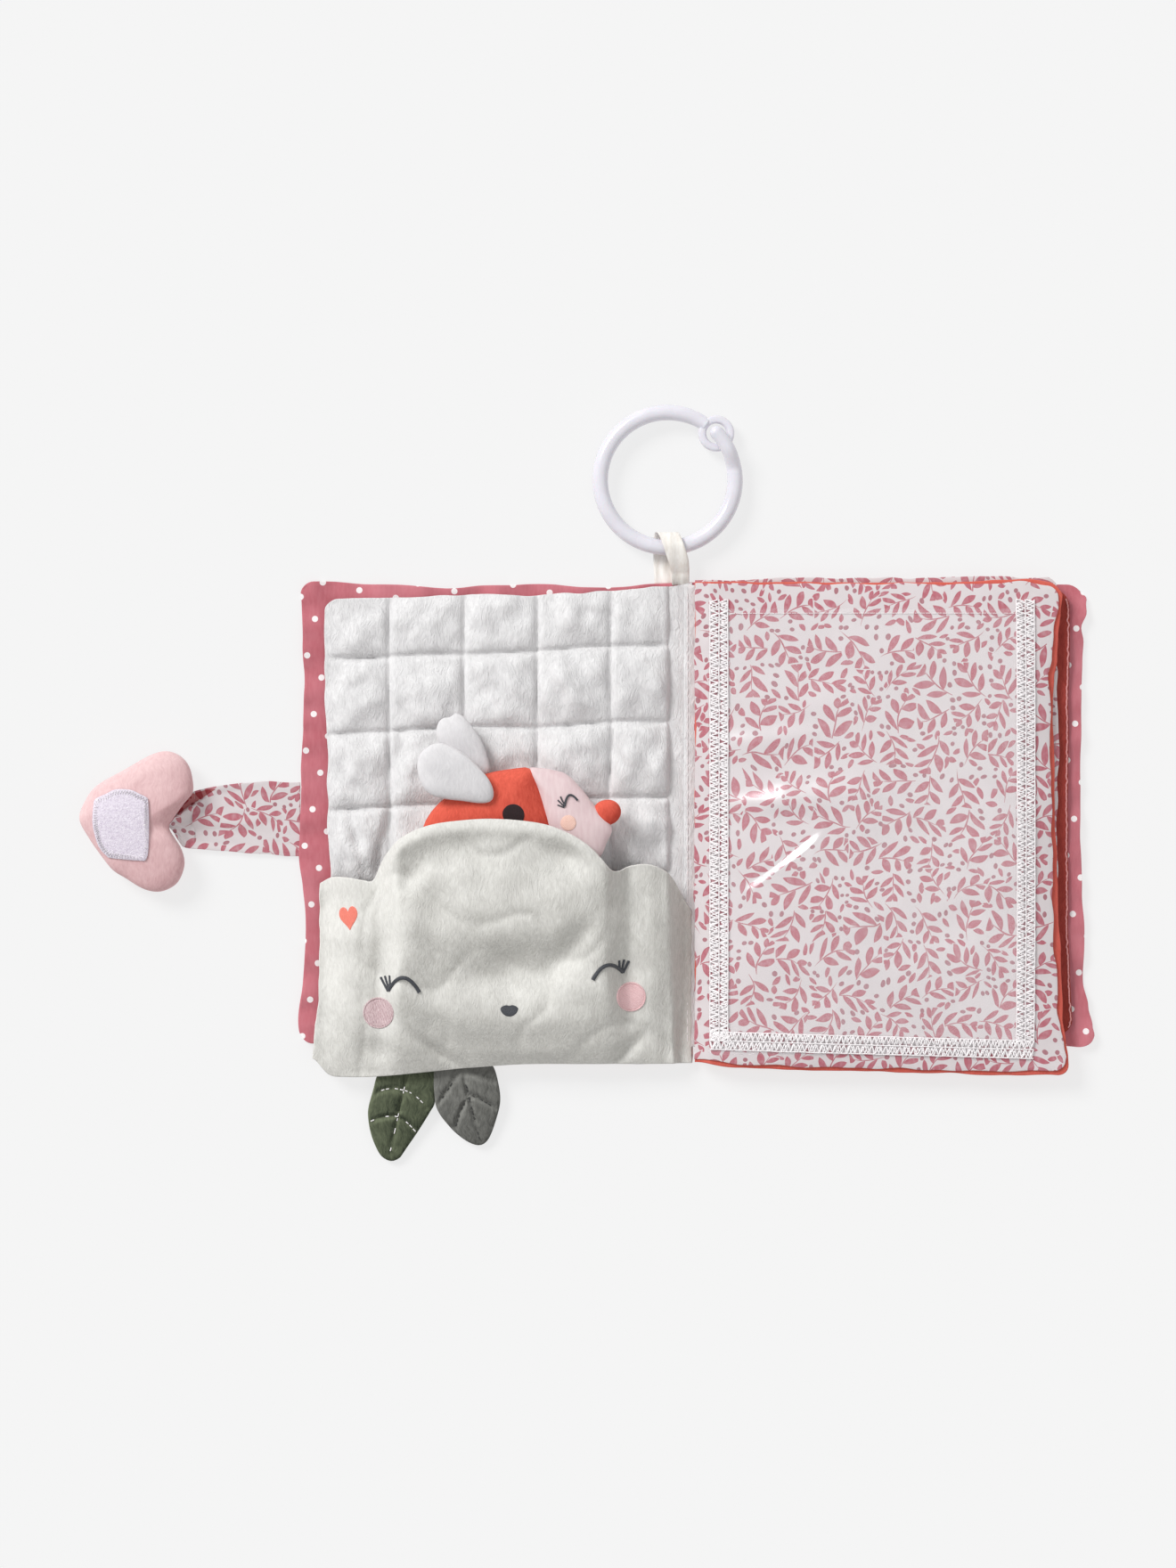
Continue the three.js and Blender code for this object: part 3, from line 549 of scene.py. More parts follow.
def settle(slot, body, *pieces, nodes=(), fill=None):
    """Attaches pieces to a body and hides the nodes that they replace; where a hinge is given, it only fixes
    each piece where it stands. The slot and fill are not used.
    """
    for piece in pieces:
        if nodes:
            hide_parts(*nodes)
        if isinstance(body, str):
            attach(piece, body)
        else:
            first, second, start, end = body
            tuple(MM * p for p in start)
            tuple(MM * p for p in end)
            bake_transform(piece)


SPINE = "spine_and_back_cover"
FRONT_COVER_HINGE = (SPINE, "front_cover", (4, 0, 0), (-26, 0, 0))
POCKET_LEAF_HINGE = (SPINE, "pocket_leaf", (0, 0, 0), (-14, 0, 0))
INNER_LEAF_HINGE = (SPINE, "inner_leaf", (0, 0, 0), (14, 0, 0))
WINDOW_LEAF_HINGE = ("inner_leaf", "window_leaf", (0, 0, 0), (14, 0, 0))
STRAP_HINGE = ("front_cover", "strap", (-145.6, 0, 0), (-151, 0, 0))


def straight(x, y):
    return x, y


def rounded(plan, corner):
    """Moves a point of a rectangle so that the rectangle's corners become round."""
    middle = ((plan[0] + plan[1]) / 2, (plan[2] + plan[3]) / 2)
    inner = ((plan[1] - plan[0]) / 2 - corner, (plan[3] - plan[2]) / 2 - corner)

    def place(x, y):
        away = (x - middle[0], y - middle[1])
        p = (abs(away[0]) - inner[0]) / corner
        q = (abs(away[1]) - inner[1]) / corner
        if p <= 0 or q <= 0:
            return x, y
        pulled = (p * math.sqrt(1 - q * q / 2), q * math.sqrt(1 - p * p / 2))
        return tuple(m + math.copysign(i + corner * f, d) for m, i, f, d in zip(middle, inner, pulled, away))
    return place


def wavering(plan, place, depth, pitch, seed):
    """Lets the edges of a plan waver by depth, while its middle keeps its place."""
    def moved(x, y):
        across = (2 * x - plan[0] - plan[1]) / (plan[1] - plan[0])
        along = (2 * y - plan[2] - plan[3]) / (plan[3] - plan[2])
        side = rough(y / pitch, seed + math.copysign(5.0, across), 0.3)
        end = rough(x / pitch, seed + math.copysign(5.0, along), 8.3)
        px, py = place(x, y)
        return px + depth * side * across ** 8, py + depth * end * along ** 8
    return moved


def drawn(plan, place, side, *marks):
    """Draws one side of a plan to a line through places of the picture."""
    axis = 0 if side in ("left", "right") else 1
    number = ("left", "right", "bottom", "top").index(side)
    edge, other = plan[number], plan[number ^ 1]
    spots = sorted((page(*mark)[1 - axis], page(*mark)[axis]) for mark in marks)

    def moved(x, y):
        across, along = (x, y) if axis == 0 else (y, x)
        n = min(len(spots) - 2, max(0, bisect.bisect(spots, (along,)) - 1))
        share = smooth((along - spots[n][0]) / (spots[n + 1][0] - spots[n][0]))
        goal = spots[n][1] + (spots[n + 1][1] - spots[n][1]) * share
        shift = (goal - edge) * ((across - other) / (edge - other)) ** 4
        px, py = place(x, y)
        return (px + shift, py) if axis == 0 else (px, py + shift)
    return moved


def off(middle, away, angle):
    """The place that is away from a middle in the direction of an angle."""
    return middle[0] + away * math.cos(angle), middle[1] + away * math.sin(angle)


def out_share(middle, reach, x, y):
    """0 at the middle of an outline, 1 at the outline and beyond it."""
    angle = math.atan2(y - middle[1], x - middle[0])
    return min(1.0, math.hypot(x - middle[0], y - middle[1]) / reach(angle))


def cloth(name, finish, columns, rows, spot, rim, segments=3):
    """Closed cloth with a soft rim. Its spot gives a point for two shares and for the upper side or not."""
    form = bmesh.new()
    bmesh.ops.create_grid(form, x_segments=columns, y_segments=rows, size=0.5)
    copied = bmesh.ops.duplicate(form, geom=form.verts[:] + form.edges[:] + form.faces[:])["geom"]
    lower = {item for item in copied if isinstance(item, bmesh.types.BMVert)}
    for vertex in form.verts:
        vertex.co = spot(vertex.co.x, vertex.co.y, vertex not in lower)
    bmesh.ops.reverse_faces(form, faces=[item for item in copied if isinstance(item, bmesh.types.BMFace)])
    edges = [edge for edge in form.edges if edge.is_boundary]
    walls = set(bmesh.ops.bridge_loops(form, edges=edges)["faces"])
    if rim:
        corners = [edge for edge in form.edges if sum(face in walls for face in edge.link_faces) == 1]
        bmesh.ops.bevel(form, geom=corners, offset=rim, offset_type="OFFSET", segments=segments, profile=0.5,
                        affect="EDGES", material=-1, clamp_overlap=True)
    return finish_piece(name, form, finish)


def layer(name, plan, finish, place, over, under, pitch=1.25, rim=0.8):
    """A padded or plain layer of cloth over a plan."""
    wide, tall = plan[1] - plan[0], plan[3] - plan[2]

    def spot(u, v, upper):
        x, y = place((plan[0] + plan[1]) / 2 + wide * u, (plan[2] + plan[3]) / 2 + tall * v)
        return x, y, (over if upper else under)(x, y)
    return cloth(name, finish, round(wide / pitch), round(tall / pitch), spot, rim)


def ball(around, rings, spot):
    """A ball with moved points. Its spot gives a point for an angle, a distance from the axis and a height."""
    form = bmesh.new()
    bmesh.ops.create_uvsphere(form, u_segments=around, v_segments=rings, radius=1.0)
    for vertex in form.verts:
        x, y, z = vertex.co
        vertex.co = spot(math.atan2(y, x), min(1.0, math.hypot(x, y)), z)
    return form


def stuffed(name, finish, middle, reach, over, under, around=96, rings=40, fullness=0.75, detail=None):
    """A stuffed form: a ball drawn out to an outline, its seam at the level where both halves meet."""
    seam = middle[2]

    def spot(angle, out, height):
        x, y = off(middle, reach(angle) * out, angle)
        rise = math.copysign(abs(height) ** fullness, height)
        level = seam + rise * ((over - seam) if rise > 0 else (seam - under))
        if detail:
            level += detail(x, y, out) * max(0.0, rise)
        return x, y, level
    return finish_piece(name, ball(around, rings, spot), finish)


def patch_on(name, middle, reach, level, rise, finish, around=64, rings=24):
    """A filled patch of embroidery, slightly raised, that follows the cloth under it."""
    def spot(angle, out, height):
        x, y = off(middle, reach(angle) * out, angle)
        return x, y, level(x, y) + rise * (height ** 0.5 if height > 0 else 0.5 * height)
    return finish_piece(name, ball(around, rings, spot), finish)


def tubes(name, lines, radius, sides, swell=lambda n: 1.0):
    """Round tubes along lines of points."""
    data = bpy.data.curves.new(name, "CURVE")
    data.dimensions = "3D"
    data.bevel_depth = radius
    data.bevel_resolution = sides // 2 - 2
    data.use_fill_caps = True
    for line in lines:
        spline = data.splines.new("POLY")
        spline.points.add(len(line) - 1)
        for n, spot in enumerate(line):
            spline.points[n].co = (*spot, 1.0)
            spline.points[n].radius = swell(n)
    curve = bpy.data.objects.new(name, data)
    bpy.context.scene.collection.objects.link(curve)
    bpy.context.view_layer.update()
    mesh = bpy.data.meshes.new_from_object(curve)
    bpy.data.objects.remove(curve)
    form = bmesh.new()
    form.from_mesh(mesh)
    bpy.data.meshes.remove(mesh)
    return form


def sewn(name, lines, radius, finish, sides=6):
    """Threads or cords along lines of points."""
    return finish_piece(name, tubes(name, lines, radius, sides), finish)


# Covers and spine
SPINE_AND_FRONT = (-146.0, 12.0, -85.0, 85.0)


def front_cover_level(x, y):
    level = cover_top(FRONT_COVER, x, y) if x < -12.3 else 2.7
    level -= 0.7 * math.exp(-((x + 12.2) / 0.9) ** 2)
    return level + 3.0 * pucker(SPINE_AND_FRONT, x, y, 8.0, 8.0, 1.0) * smooth((11 - x) / 8) - 0.1


def back_cover_level(x, y):
    gathers = 3.4 * pucker(BACK_COVER, x, y, 11.0, 9.0, 4.0) * smooth((x - 14) / 8)
    return cover_top(BACK_COVER, x, y) + gathers - 0.1


def make_covers():
    plan = SPINE_AND_FRONT
    place = wavering(plan, rounded(plan, 5.0), 0.7, 16.0, 2.0)
    place = drawn(plan, place, "left", (334, 655), (336, 680), (338, 720), (339, 788), (334.5, 870),
                  (333.5, 958), (338, 995), (341, 1047), (336.5, 1102), (333, 1150), (334, 1172))
    place = drawn(plan, place, "top", (336, 651), (367, 651.5), (441, 655), (500, 658), (541, 655.5),
                  (618, 654), (655, 657.5), (700, 657), (737, 654.5), (818, 651))
    front = layer("front_cover_cotton", plan, cotton, place, front_cover_level, lambda x, y: 0.0)
    settle("dotted_cotton", FRONT_COVER_HINGE, front, fill=0.3,
           nodes=("spine_strip", "front_cover_outer", "front_cover_wadding", "front_cover_inner"))
    plan = BACK_COVER
    place = wavering(plan, rounded(plan, 7.0), 0.5, 16.0, 7.0)
    place = drawn(plan, place, "right", (1222, 655), (1224.5, 667), (1223, 676), (1223.5, 686), (1217.5, 703),
                  (1220.5, 719), (1219.5, 740), (1218, 800), (1216.5, 900), (1218, 1000), (1221.5, 1060),
                  (1220, 1102), (1225.5, 1128), (1230.5, 1149), (1234, 1165), (1234.5, 1176))
    place = drawn(plan, place, "bottom", (816, 1170), (1100, 1172), (1180, 1176), (1225, 1179.5))
    back = layer("back_cover_cotton", plan, cotton, place, back_cover_level,
                 lambda x, y: 0.95 if 104 < x < 132 and -15.5 < y < 11.5 else 0.0)
    settle("dotted_cotton", SPINE, back, fill=0.3,
           nodes=("back_cover_outer", "back_cover_wadding", "back_cover_inner"))


def make_lining():
    plan = LINING
    place = drawn(plan, wavering(plan, rounded(plan, 7.0), 0.4, 12.0, 3.0), "right",
                  (1204, 659), (1204.5, 700), (1203, 760), (1202, 900), (1203, 1060), (1205, 1110),
                  (1207.5, 1165))
    top = lambda x, y: lining_top(x, y) + 0.3 * pucker(plan, x, y, 9.0, 6.0, 2.0) - 0.1
    lining = layer("back_cover_lining_plush", plan, red_plush, place, top,
                   lambda x, y: cover_top(BACK_COVER, x, y) + 0.35, rim=0.6)
    line = []
    for n in range(300):
        x, y = place(plan[1], plan[2] + 1.5 + (plan[3] - plan[2] - 4.0) * n / 299)
        x += 0.5 * rough(n * 0.3, 4.0, 0.0) - 0.7
        line.append((x, y, top(x, y) + 0.1 + 0.15 * math.sin(n * 1.9)))
    settle("red_plush", SPINE, lining, nodes=("back_cover_lining",))
    settle("thread", SPINE, sewn("lining_edge_thread", [line], 0.3, rose_thread))


# Leaves
def leaf_pair(name, plan, front, back, over, under, root_drop, face_edges, back_edges, inset, seed, pitch=1.25):
    """A leaf's front cloth with its filling, and its back cloth, which shows as a rim outside the front."""
    def cut_to(outline, corner, depth, edges, turn):
        gutter = 14.0 if outline[0] > -1 else 0.0
        wide = (outline[0] - gutter, outline[1] + (0.0 if gutter else 14.0), *outline[2:])
        place = wavering(outline, rounded(wide, corner), depth, 9.0, seed + turn)
        for side, marks in edges.items():
            place = drawn(outline, place, side, *marks)
        return place

    def lifted(lift):
        return lambda x, y: under(x, y) + lift - root_drop(x)

    facing = (plan[0] + inset[0], plan[1] - inset[1], plan[2] + inset[2], plan[3] - inset[3])
    backing = layer(name + "_backing", plan, back, cut_to(plan, 5.0, 0.5, back_edges, 0),
                    lifted(1.35), lifted(0.1), rim=0.55)
    face = layer(name + "_face", facing, front, cut_to(facing, 4.5, 0.8, face_edges, 2),
                 lambda x, y: over(x, y) - root_drop(x), lifted(1.4), pitch=pitch, rim=0.7)
    return face, backing


def window_over(x, y):
    gathers = 0.35 * pucker(WINDOW_LEAF, x, y, 5.0, 4.0, 8.0)
    waves = 2.2 * lump(x * 0.55 + y * 0.1, y, 19.0, 2.0) + 0.5 * lump(x, y, 11.0, 6.0)
    folds = sum(1.9 * math.exp(-((y - level - 0.12 * x) / 4.5) ** 2) for level in (24.0, 1.0))
    folds *= smooth((80 - x) / 60)
    return window_top(x, y) - 0.1 + gathers + (waves + folds) * crown(WINDOW_LEAF, x, y)


def make_right_leaves():
    def inner_over(x, y):
        return inner_top(x, y) - 0.1 + 0.25 * pucker(INNER_LEAF, x, y, 6.0, 4.0, 5.0)

    root_drop = lambda x: 2.6 * smooth((7.0 - x) / 7.0)
    inner = leaf_pair(
        "inner_leaf", (0.6, *INNER_LEAF[1:]), print_cloth, coral_plush, inner_over,
        lambda x, y: lining_top(x, y) + 0.3, root_drop,
        {"right": [(1190, 655), (1188, 700), (1186, 740), (1189.5, 757), (1190, 800), (1189, 1000),
                   (1190, 1200)],
         "bottom": [(782, 1186), (1190, 1195)],
         "top": [(782, 650), (900, 648), (1060, 647.5), (1120, 645.5), (1190, 648)]},
        {"right": [(1189, 655), (1186, 740), (1188, 800), (1188, 1000), (1189, 1200)],
         "bottom": [(782, 1188), (1190, 1198)]}, (0.0, 0.0, 0.8, 0.2), 11.0)
    window = leaf_pair(
        "window_leaf", (0.6, *WINDOW_LEAF[1:]), print_cloth, coral_plush, window_over,
        lambda x, y: inner_top(x, y) + 0.3, root_drop,
        {"right": [(1190, 660), (1189.5, 677), (1184, 708), (1181, 740), (1176.8, 758), (1179.5, 782),
                   (1181, 900), (1183, 1000), (1184, 1060), (1188, 1086), (1187, 1127), (1191.5, 1151),
                   (1196.5, 1170), (1199.5, 1186), (1200, 1200)],
         "bottom": [(782, 1190), (830, 1196), (950, 1199), (1060, 1202), (1162, 1204), (1200, 1203)],
         "top": [(782, 654), (900, 655), (1040, 655), (1100, 656), (1140, 652), (1190, 656)]},
        {"right": [(1194, 656), (1195.5, 667), (1192.5, 688), (1190, 714), (1189, 740), (1184.5, 761),
                   (1183.5, 793), (1186, 900), (1189, 1000), (1192.5, 1070), (1193.7, 1112), (1195, 1139),
                   (1199, 1165), (1202, 1184), (1203, 1202)],
         "bottom": [(782, 1194), (830, 1200.5), (950, 1203.5), (1060, 1206), (1120, 1208.4), (1202, 1208.5)],
         "top": [(782, 652), (900, 653), (1040, 653), (1120, 651), (1155, 649), (1194, 653)]},
        (0.0, 2.0, 2.2, 1.0), 14.0)
    settle("sprig_print", INNER_LEAF_HINGE, inner[0], nodes=("inner_leaf_front", "inner_leaf_wadding"),
           fill=0.35)
    settle("coral_plush", INNER_LEAF_HINGE, inner[1], nodes=("inner_leaf_back",))
    settle("sprig_print", WINDOW_LEAF_HINGE, window[0], nodes=("window_leaf_front", "window_leaf_wadding"),
           fill=0.35)
    settle("coral_plush", WINDOW_LEAF_HINGE, window[1], nodes=("window_leaf_back",))


def seam_distance(place, pitch):
    """The distance from the nearest line of a set of lines that lie a pitch apart."""
    share = place / pitch % 1.0
    return pitch * min(share, 1.0 - share)


def tucks(x, y):
    """Shallow folds that run down to the pocket's upper left corner, and one beside the wings."""
    spot, total = Vector((x, y)), 0.0
    for first, last, width, depth in (
            ((388, 893), (412, 990), 2.3, 1.7), ((441, 888), (421, 990), 2.1, 1.5),
            ((456, 812), (437, 872), 2.4, 1.1), ((523, 747), (560, 800), 2.6, 0.9)):
        start, line = Vector(page(*first)), Vector(page(*last)) - Vector(page(*first))
        along = (spot - start).dot(line) / line.length_squared
        away = (spot - start - line * along).length
        total += depth * math.exp(-(away / width) ** 2) * smooth(along * 3) * smooth((1.15 - along) * 3)
    return total


def quilt_over(x, y):
    """Stuffed squares between sewn lines, with soft slanting rumples, and a step down to the gutter strip."""
    wide, tall = 27.0, 28.0
    across = seam_distance(x + 1.1 * lump(x, y, 30.0, 5.0) - QUILT_X, wide)
    along = seam_distance(y + 1.1 * lump(x, y, 30.0, 9.0) - 0.037 * (x + 107.6) - QUILT_Y, tall)
    swell = math.sin(math.pi * across / wide) ** 0.5 * math.sin(math.pi * along / tall) ** 0.5
    cord = -0.7 * (math.exp(-(across / 0.9) ** 2) + math.exp(-(along / 0.9) ** 2))
    rumple = 1.5 * lump(x * 1.3 + y * 0.7, y - x * 0.5, 11.0, 3.0) + 0.3 * lump(x, y, 5.0, 1.0) - 0.2
    panel_edge = -1.9 * smooth((x + 9.6) / 1.6) - 0.8 * math.exp(-((x + 8.6) / 0.9) ** 2)
    quilting = quilt_edge(x, y) * (3.6 * swell - 1.2 + cord + 1.5 * rumple * swell)
    gathers = 0.4 * pucker(POCKET_LEAF, x, y, 6.0, 4.0, 12.0)
    return pocket_leaf_cloth(x, y) - 0.15 + quilting + panel_edge + gathers - tucks(x, y)


def make_pocket_leaf():
    plan = (POCKET_LEAF[0], -0.4, *POCKET_LEAF[2:])
    root_drop = lambda x: 1.2 * smooth((7.0 + x) / 7.0)
    face, backing = leaf_pair(
        "pocket_leaf", plan, white_plush, coral_plush, quilt_over, pocket_leaf_under, root_drop,
        {"left": [(363, 674), (362.5, 714), (365, 825), (367, 910), (369, 975), (366, 1050), (358, 1120),
                  (353, 1160), (356, 1200)],
         "top": [(363, 673), (378, 671.5), (441, 669.5), (515, 666.5), (589, 667.5), (644, 665), (700, 661.5),
                 (737, 658), (779, 653)]},
        {"left": [(371, 680), (372, 900), (370, 1160), (366, 1200)],
         "top": [(368, 680), (515, 672), (644, 670), (737, 662), (779, 656)],
         "bottom": [(360, 1190), (779, 1190)]}, (0.0, 0.0, 3.0, 0.0), 21.0, pitch=0.82)
    settle("white_plush", POCKET_LEAF_HINGE, face, nodes=("pocket_leaf_front", "pocket_leaf_wadding"), fill=0.5)
    settle("coral_plush", POCKET_LEAF_HINGE, backing, nodes=("pocket_leaf_back",))


# Clear film pocket, with the sewing round three of its sides
FILM = (5.6, 125.6, -88.5, 75.5)
WRINKLE = arc((930, 935), (885, 972), (836, 1007), 40)


def film_level(x, y):
    """The film's underside: close to the leaf, with one raised wrinkle, steep enough to catch the light."""
    wrinkle = 0.0
    if 12 < x < 58 and -38 < y < 0:
        n, away = min(enumerate(math.dist((x, y), spot) for spot in WRINKLE), key=lambda item: item[1])
        wrinkle = max(0.0, 1.75 - 0.5 * away) * math.sin(math.pi * (n + 0.5) / len(WRINKLE)) ** 0.4
    return window_over(x, y) + 0.12 + 0.5 * crown(FILM, x, y) * (1 + 0.6 * lump(x, y, 22.0, 6.0)) + wrinkle


def make_film():
    film = layer("film_pocket", FILM, vinyl, straight, lambda x, y: film_level(x, y) + 0.2, film_level,
                 pitch=1.0, rim=0.0)
    settle("clear_film", WINDOW_LEAF_HINGE, film, nodes=("clear_film_pocket",))


def zigzag(start, run, offset, reach, step, lift, seed):
    """A zigzag of thread beside a straight line, its height following the film."""
    forward, count = run.normalized(), round(run.length / step)
    aside = Vector((-forward.y, forward.x))
    turns = []
    for n in range(2 * count + 1):
        shift = offset + (reach if n % 2 else -reach) + 0.28 * rough(n * 0.7, seed, 0.5)
        slip = 0.3 * rough(n * 0.9, seed, 4.5)
        turns.append(start + forward * (run.length * n / (2 * count) + slip) + aside * shift)
    points = []
    for one, two in zip(turns, turns[1:]):
        for share in (0.0, 0.12, 0.5, 0.88):
            spot = one + (two - one) * share
            points.append((*spot, film_level(*spot) + lift + 0.1 * math.sin(math.pi * share)))
    return points


def running_line(start, run, offset, lift, seed):
    """Small running stitches beside a straight line, about 1 mm long."""
    count = round(run.length)
    aside = Vector((-run.y, run.x)).normalized()
    points = []
    for n in range(count + 1):
        spot = start + run * (n / count) + aside * (offset + 0.12 * rough(n * 0.4, seed, 1.5))
        points.append((*spot, film_level(*spot) + lift + 0.1 * (n % 2)))
    return points


def make_film_sewing():
    """Three bands of overlock sewing, each with close cross threads on one side and open loops on the other."""
    for name, start, end, node_name, seed in (
            ("overlock_gutter", (9.3, -84.0), (9.3, 79.0), "window_thread_gutter", 1.0),
            ("overlock_fore", (121.9, 79.0), (121.9, -84.0), "window_thread_fore", 11.0),
            ("overlock_bottom", (125.0, -86.6), (6.0, -83.2), "window_thread_bottom", 21.0)):
        start, run = Vector(start), Vector(end) - Vector(start)
        lines = [zigzag(start, run, *shape, seed + n) for n, shape in enumerate((
            (1.75, 1.6, 1.7, 0.34), (1.7, 1.45, 2.6, 0.5), (-1.65, 1.6, 2.1, 0.34), (-1.9, 1.2, 1.5, 0.5)))]
        lines += [running_line(start, run, *shape, seed + 4 + n) for n, shape in enumerate((
            (0.0, 0.6), (3.3, 0.4), (-3.2, 0.4)))]
        settle("thread", WINDOW_LEAF_HINGE, sewn(name, lines, 0.23, white_thread), nodes=(node_name,))
    hem, y = [], 73.9
    for n in range(52):
        if rough(n * 0.8, 3.0, 0.0) > -0.45:
            x = 13.5 + n * 2.05
            hem.append([(x + along, y, film_level(x + under, y) + lift) for along, under, lift in (
                (0.0, 0.0, 0.3), (1.0, 0.0, 0.42), (1.7, 1.7, 0.3))])
    settle("thread", "window_leaf", sewn("film_hem_stitches", hem, 0.11, white_thread))


# Cloud pocket
CLOUD_LEFT, CLOUD_RIGHT, CLOUD_BOTTOM = -137.9, -0.6, -96.4
CLOUD_SCALLOPS = [
    (-138.0, -25.5), (-133.5, -23.2), (-127.0, -23.2), (-121.0, -24.2), (-117.6, -24.3), (-115.8, -20.5),
    (-113.6, -15.8), (-107.6, -8.9), (-97.8, -4.2), (-84.7, -2.1), (-71.6, -1.6), (-55.3, -3.4),
    (-45.5, -7.0), (-38.9, -11.2), (-34.0, -16.0), (-30.2, -20.4), (-27.5, -20.6), (-24.0, -19.0),
    (-17.0, -18.3), (-10.5, -20.8), (-7.5, -24.0), (-4.0, -30.5), (-0.6, -36.0),
]


def cloud_side(x):
    return smooth(min(x - CLOUD_LEFT, CLOUD_RIGHT - x) / 16.0)


def cloud_mouth(x):
    """The height on the page of the pocket's scalloped opening: a low shoulder, a dome, a low shoulder."""
    marks = CLOUD_SCALLOPS
    if x <= marks[0][0]:
        return marks[0][1]
    if x >= marks[-1][0]:
        return marks[-1][1]
    n = max(n for n in range(len(marks) - 1) if marks[n][0] <= x)
    before, after = marks[max(0, n - 1)], marks[min(len(marks) - 1, n + 2)]
    low, high = marks[n], marks[n + 1]
    span = high[0] - low[0]
    t = (x - low[0]) / span
    slope_low = (high[1] - before[1]) / (high[0] - before[0]) * span
    slope_high = (after[1] - low[1]) / (after[0] - low[0]) * span
    return ((2 * t ** 3 - 3 * t ** 2 + 1) * low[1] + (t ** 3 - 2 * t ** 2 + t) * slope_low
            + (3 * t ** 2 - 2 * t ** 3) * high[1] + (t ** 3 - t ** 2) * slope_high)


def cloud_inside(x, y):
    floor = math.sqrt(smooth((y - CLOUD_BOTTOM) / 62.0))
    dome = smooth((47.0 - abs(x + 70.0)) / 10.0)
    return floor * (5.0 * cloud_side(x) + 8.2 * dome)


def cloud_folds(x, y):
    """Dents and soft folds of the filled pocket."""
    def dents(*marks):
        total = 0.0
        for dip, mid_x, mid_y, wide, tall, lean in marks:
            px, py = x - mid_x, y - mid_y
            total += dip * math.exp(-((px - lean * py) / wide) ** 2 - (py / tall) ** 2)
        return total

    depth = cloud_mouth(x) - y
    away = smooth(depth / 10.0)
    roll = (1.4 * math.exp(-((depth - 3.6) / 3.2) ** 2) - 0.4 * math.exp(-((depth - 13.5) / 5.0) ** 2)
            ) * smooth((44 - abs(x + 71)) / 8.0)
    side_edge = -8.9 - 0.032 * (y + 20.0)
    fold = (-1.3 - 1.6 * smooth((-28 - y) / 10.0)) * smooth((x - side_edge) / 0.9)
    fold += 0.5 * math.exp(-((x - side_edge + 1.0) / 1.3) ** 2) - 1.2 * smooth((x + 8.2) / 8.2)
    folds = dents((-3.4, -66, -56, 26, 9.5, 0.5), (-1.8, -93, -36, 7, 11, -0.6), (1.0, -60, -76, 26, 7, 0),
                  (-1.6, -44, -47, 6, 10, 0.7), (-2.0, -112, -50, 5, 17, 0.15), (-1.6, -27, -58, 5, 14, -0.3))
    lower = dents((-1.8, -93, -88, 3.0, 7.0, -1.3), (-1.5, -26, -88, 3.4, 6.5, 0.9),
                  (-1.4, -118, -88, 7, 6, 0), (-1.2, -60, -92, 14, 3.2, 0))
    rim = dents((-1.9, -104, -23, 5.0, 7.5, 0.5), (-1.8, -47, -15, 6.0, 4.5, -0.5),
                (-1.3, -29, -30, 4.5, 7.0, 0)) * smooth(depth / 5.0)
    soft = 1.8 * lump(x, y, 24.0, 7.0) + 0.8 * lump(x + y * 0.4, y, 10.0, 3.0)
    creases = -0.7 * max(0.0, 1 - 7 * abs(lump(x, y * 0.8, 30.0, 13.0))) ** 2 * smooth((x + 132) / 12.0)
    calm = smooth((CLOUD_RIGHT - x) / 9.0)
    return calm * (away * (1.7 * folds + soft + creases) + 1.5 * lower) + rim + roll + fold


def cloud_top(x, y):
    return quilt_envelope(x, y) + 2.8 + cloud_inside(x, y) + cloud_folds(x, y)


def cloud_bottom_edge(x):
    """The lower edge, drawn in at the middle, with a rounded flare at the left corner."""
    return CLOUD_BOTTOM + 4.4 * smooth((x + 125) / 70.0) - 0.6 * math.exp(-((x + 122) / 14.0) ** 2)


def make_cloud_pocket():
    wide = CLOUD_RIGHT - CLOUD_LEFT

    def spot(u, v, upper):
        x, share = (CLOUD_LEFT + CLOUD_RIGHT) / 2 + wide * u, v + 0.5
        low, high = cloud_bottom_edge(x), cloud_mouth(x)
        low += 6.5 * (1 - smooth((x - CLOUD_LEFT) / 9.0)) ** 2
        flare = -2.4 * smooth((0.42 - share) / 0.4) * smooth((-118 - x) / 20.0)
        waver = 0.5 * rough(share * 14, x / 40, 2.0) * (1 - cloud_side(x))
        x, y = x + flare + waver, low + (high - low) * share
        return x, y, cloud_top(x, y) - (0.0 if upper else 2.4)

    pocket = cloth("cloud_pocket_plush", cream_plush, round(wide / 1.1), 76, spot, 1.05, 4)
    settle("cream_plush", POCKET_LEAF_HINGE, pocket, nodes=("cloud_pocket",), fill=0.3)


def on_cloud(x, y, lift):
    return (x, y, cloud_top(x, y) + lift)


def reach_of(points):
    """How far a closed outline is from the origin in each direction."""
    marks = sorted((math.atan2(y, x), math.hypot(x, y)) for x, y in points)

    def reach(angle):
        angle = math.remainder(angle, 2 * math.pi)
        n = bisect.bisect_right(marks, (angle, 1e9))
        low = marks[n - 1] if n else (marks[-1][0] - 2 * math.pi, marks[-1][1])
        high = marks[n] if n < len(marks) else (marks[0][0] + 2 * math.pi, marks[0][1])
        return low[1] + (high[1] - low[1]) * (angle - low[0]) / max(1e-9, high[0] - low[0])
    return reach


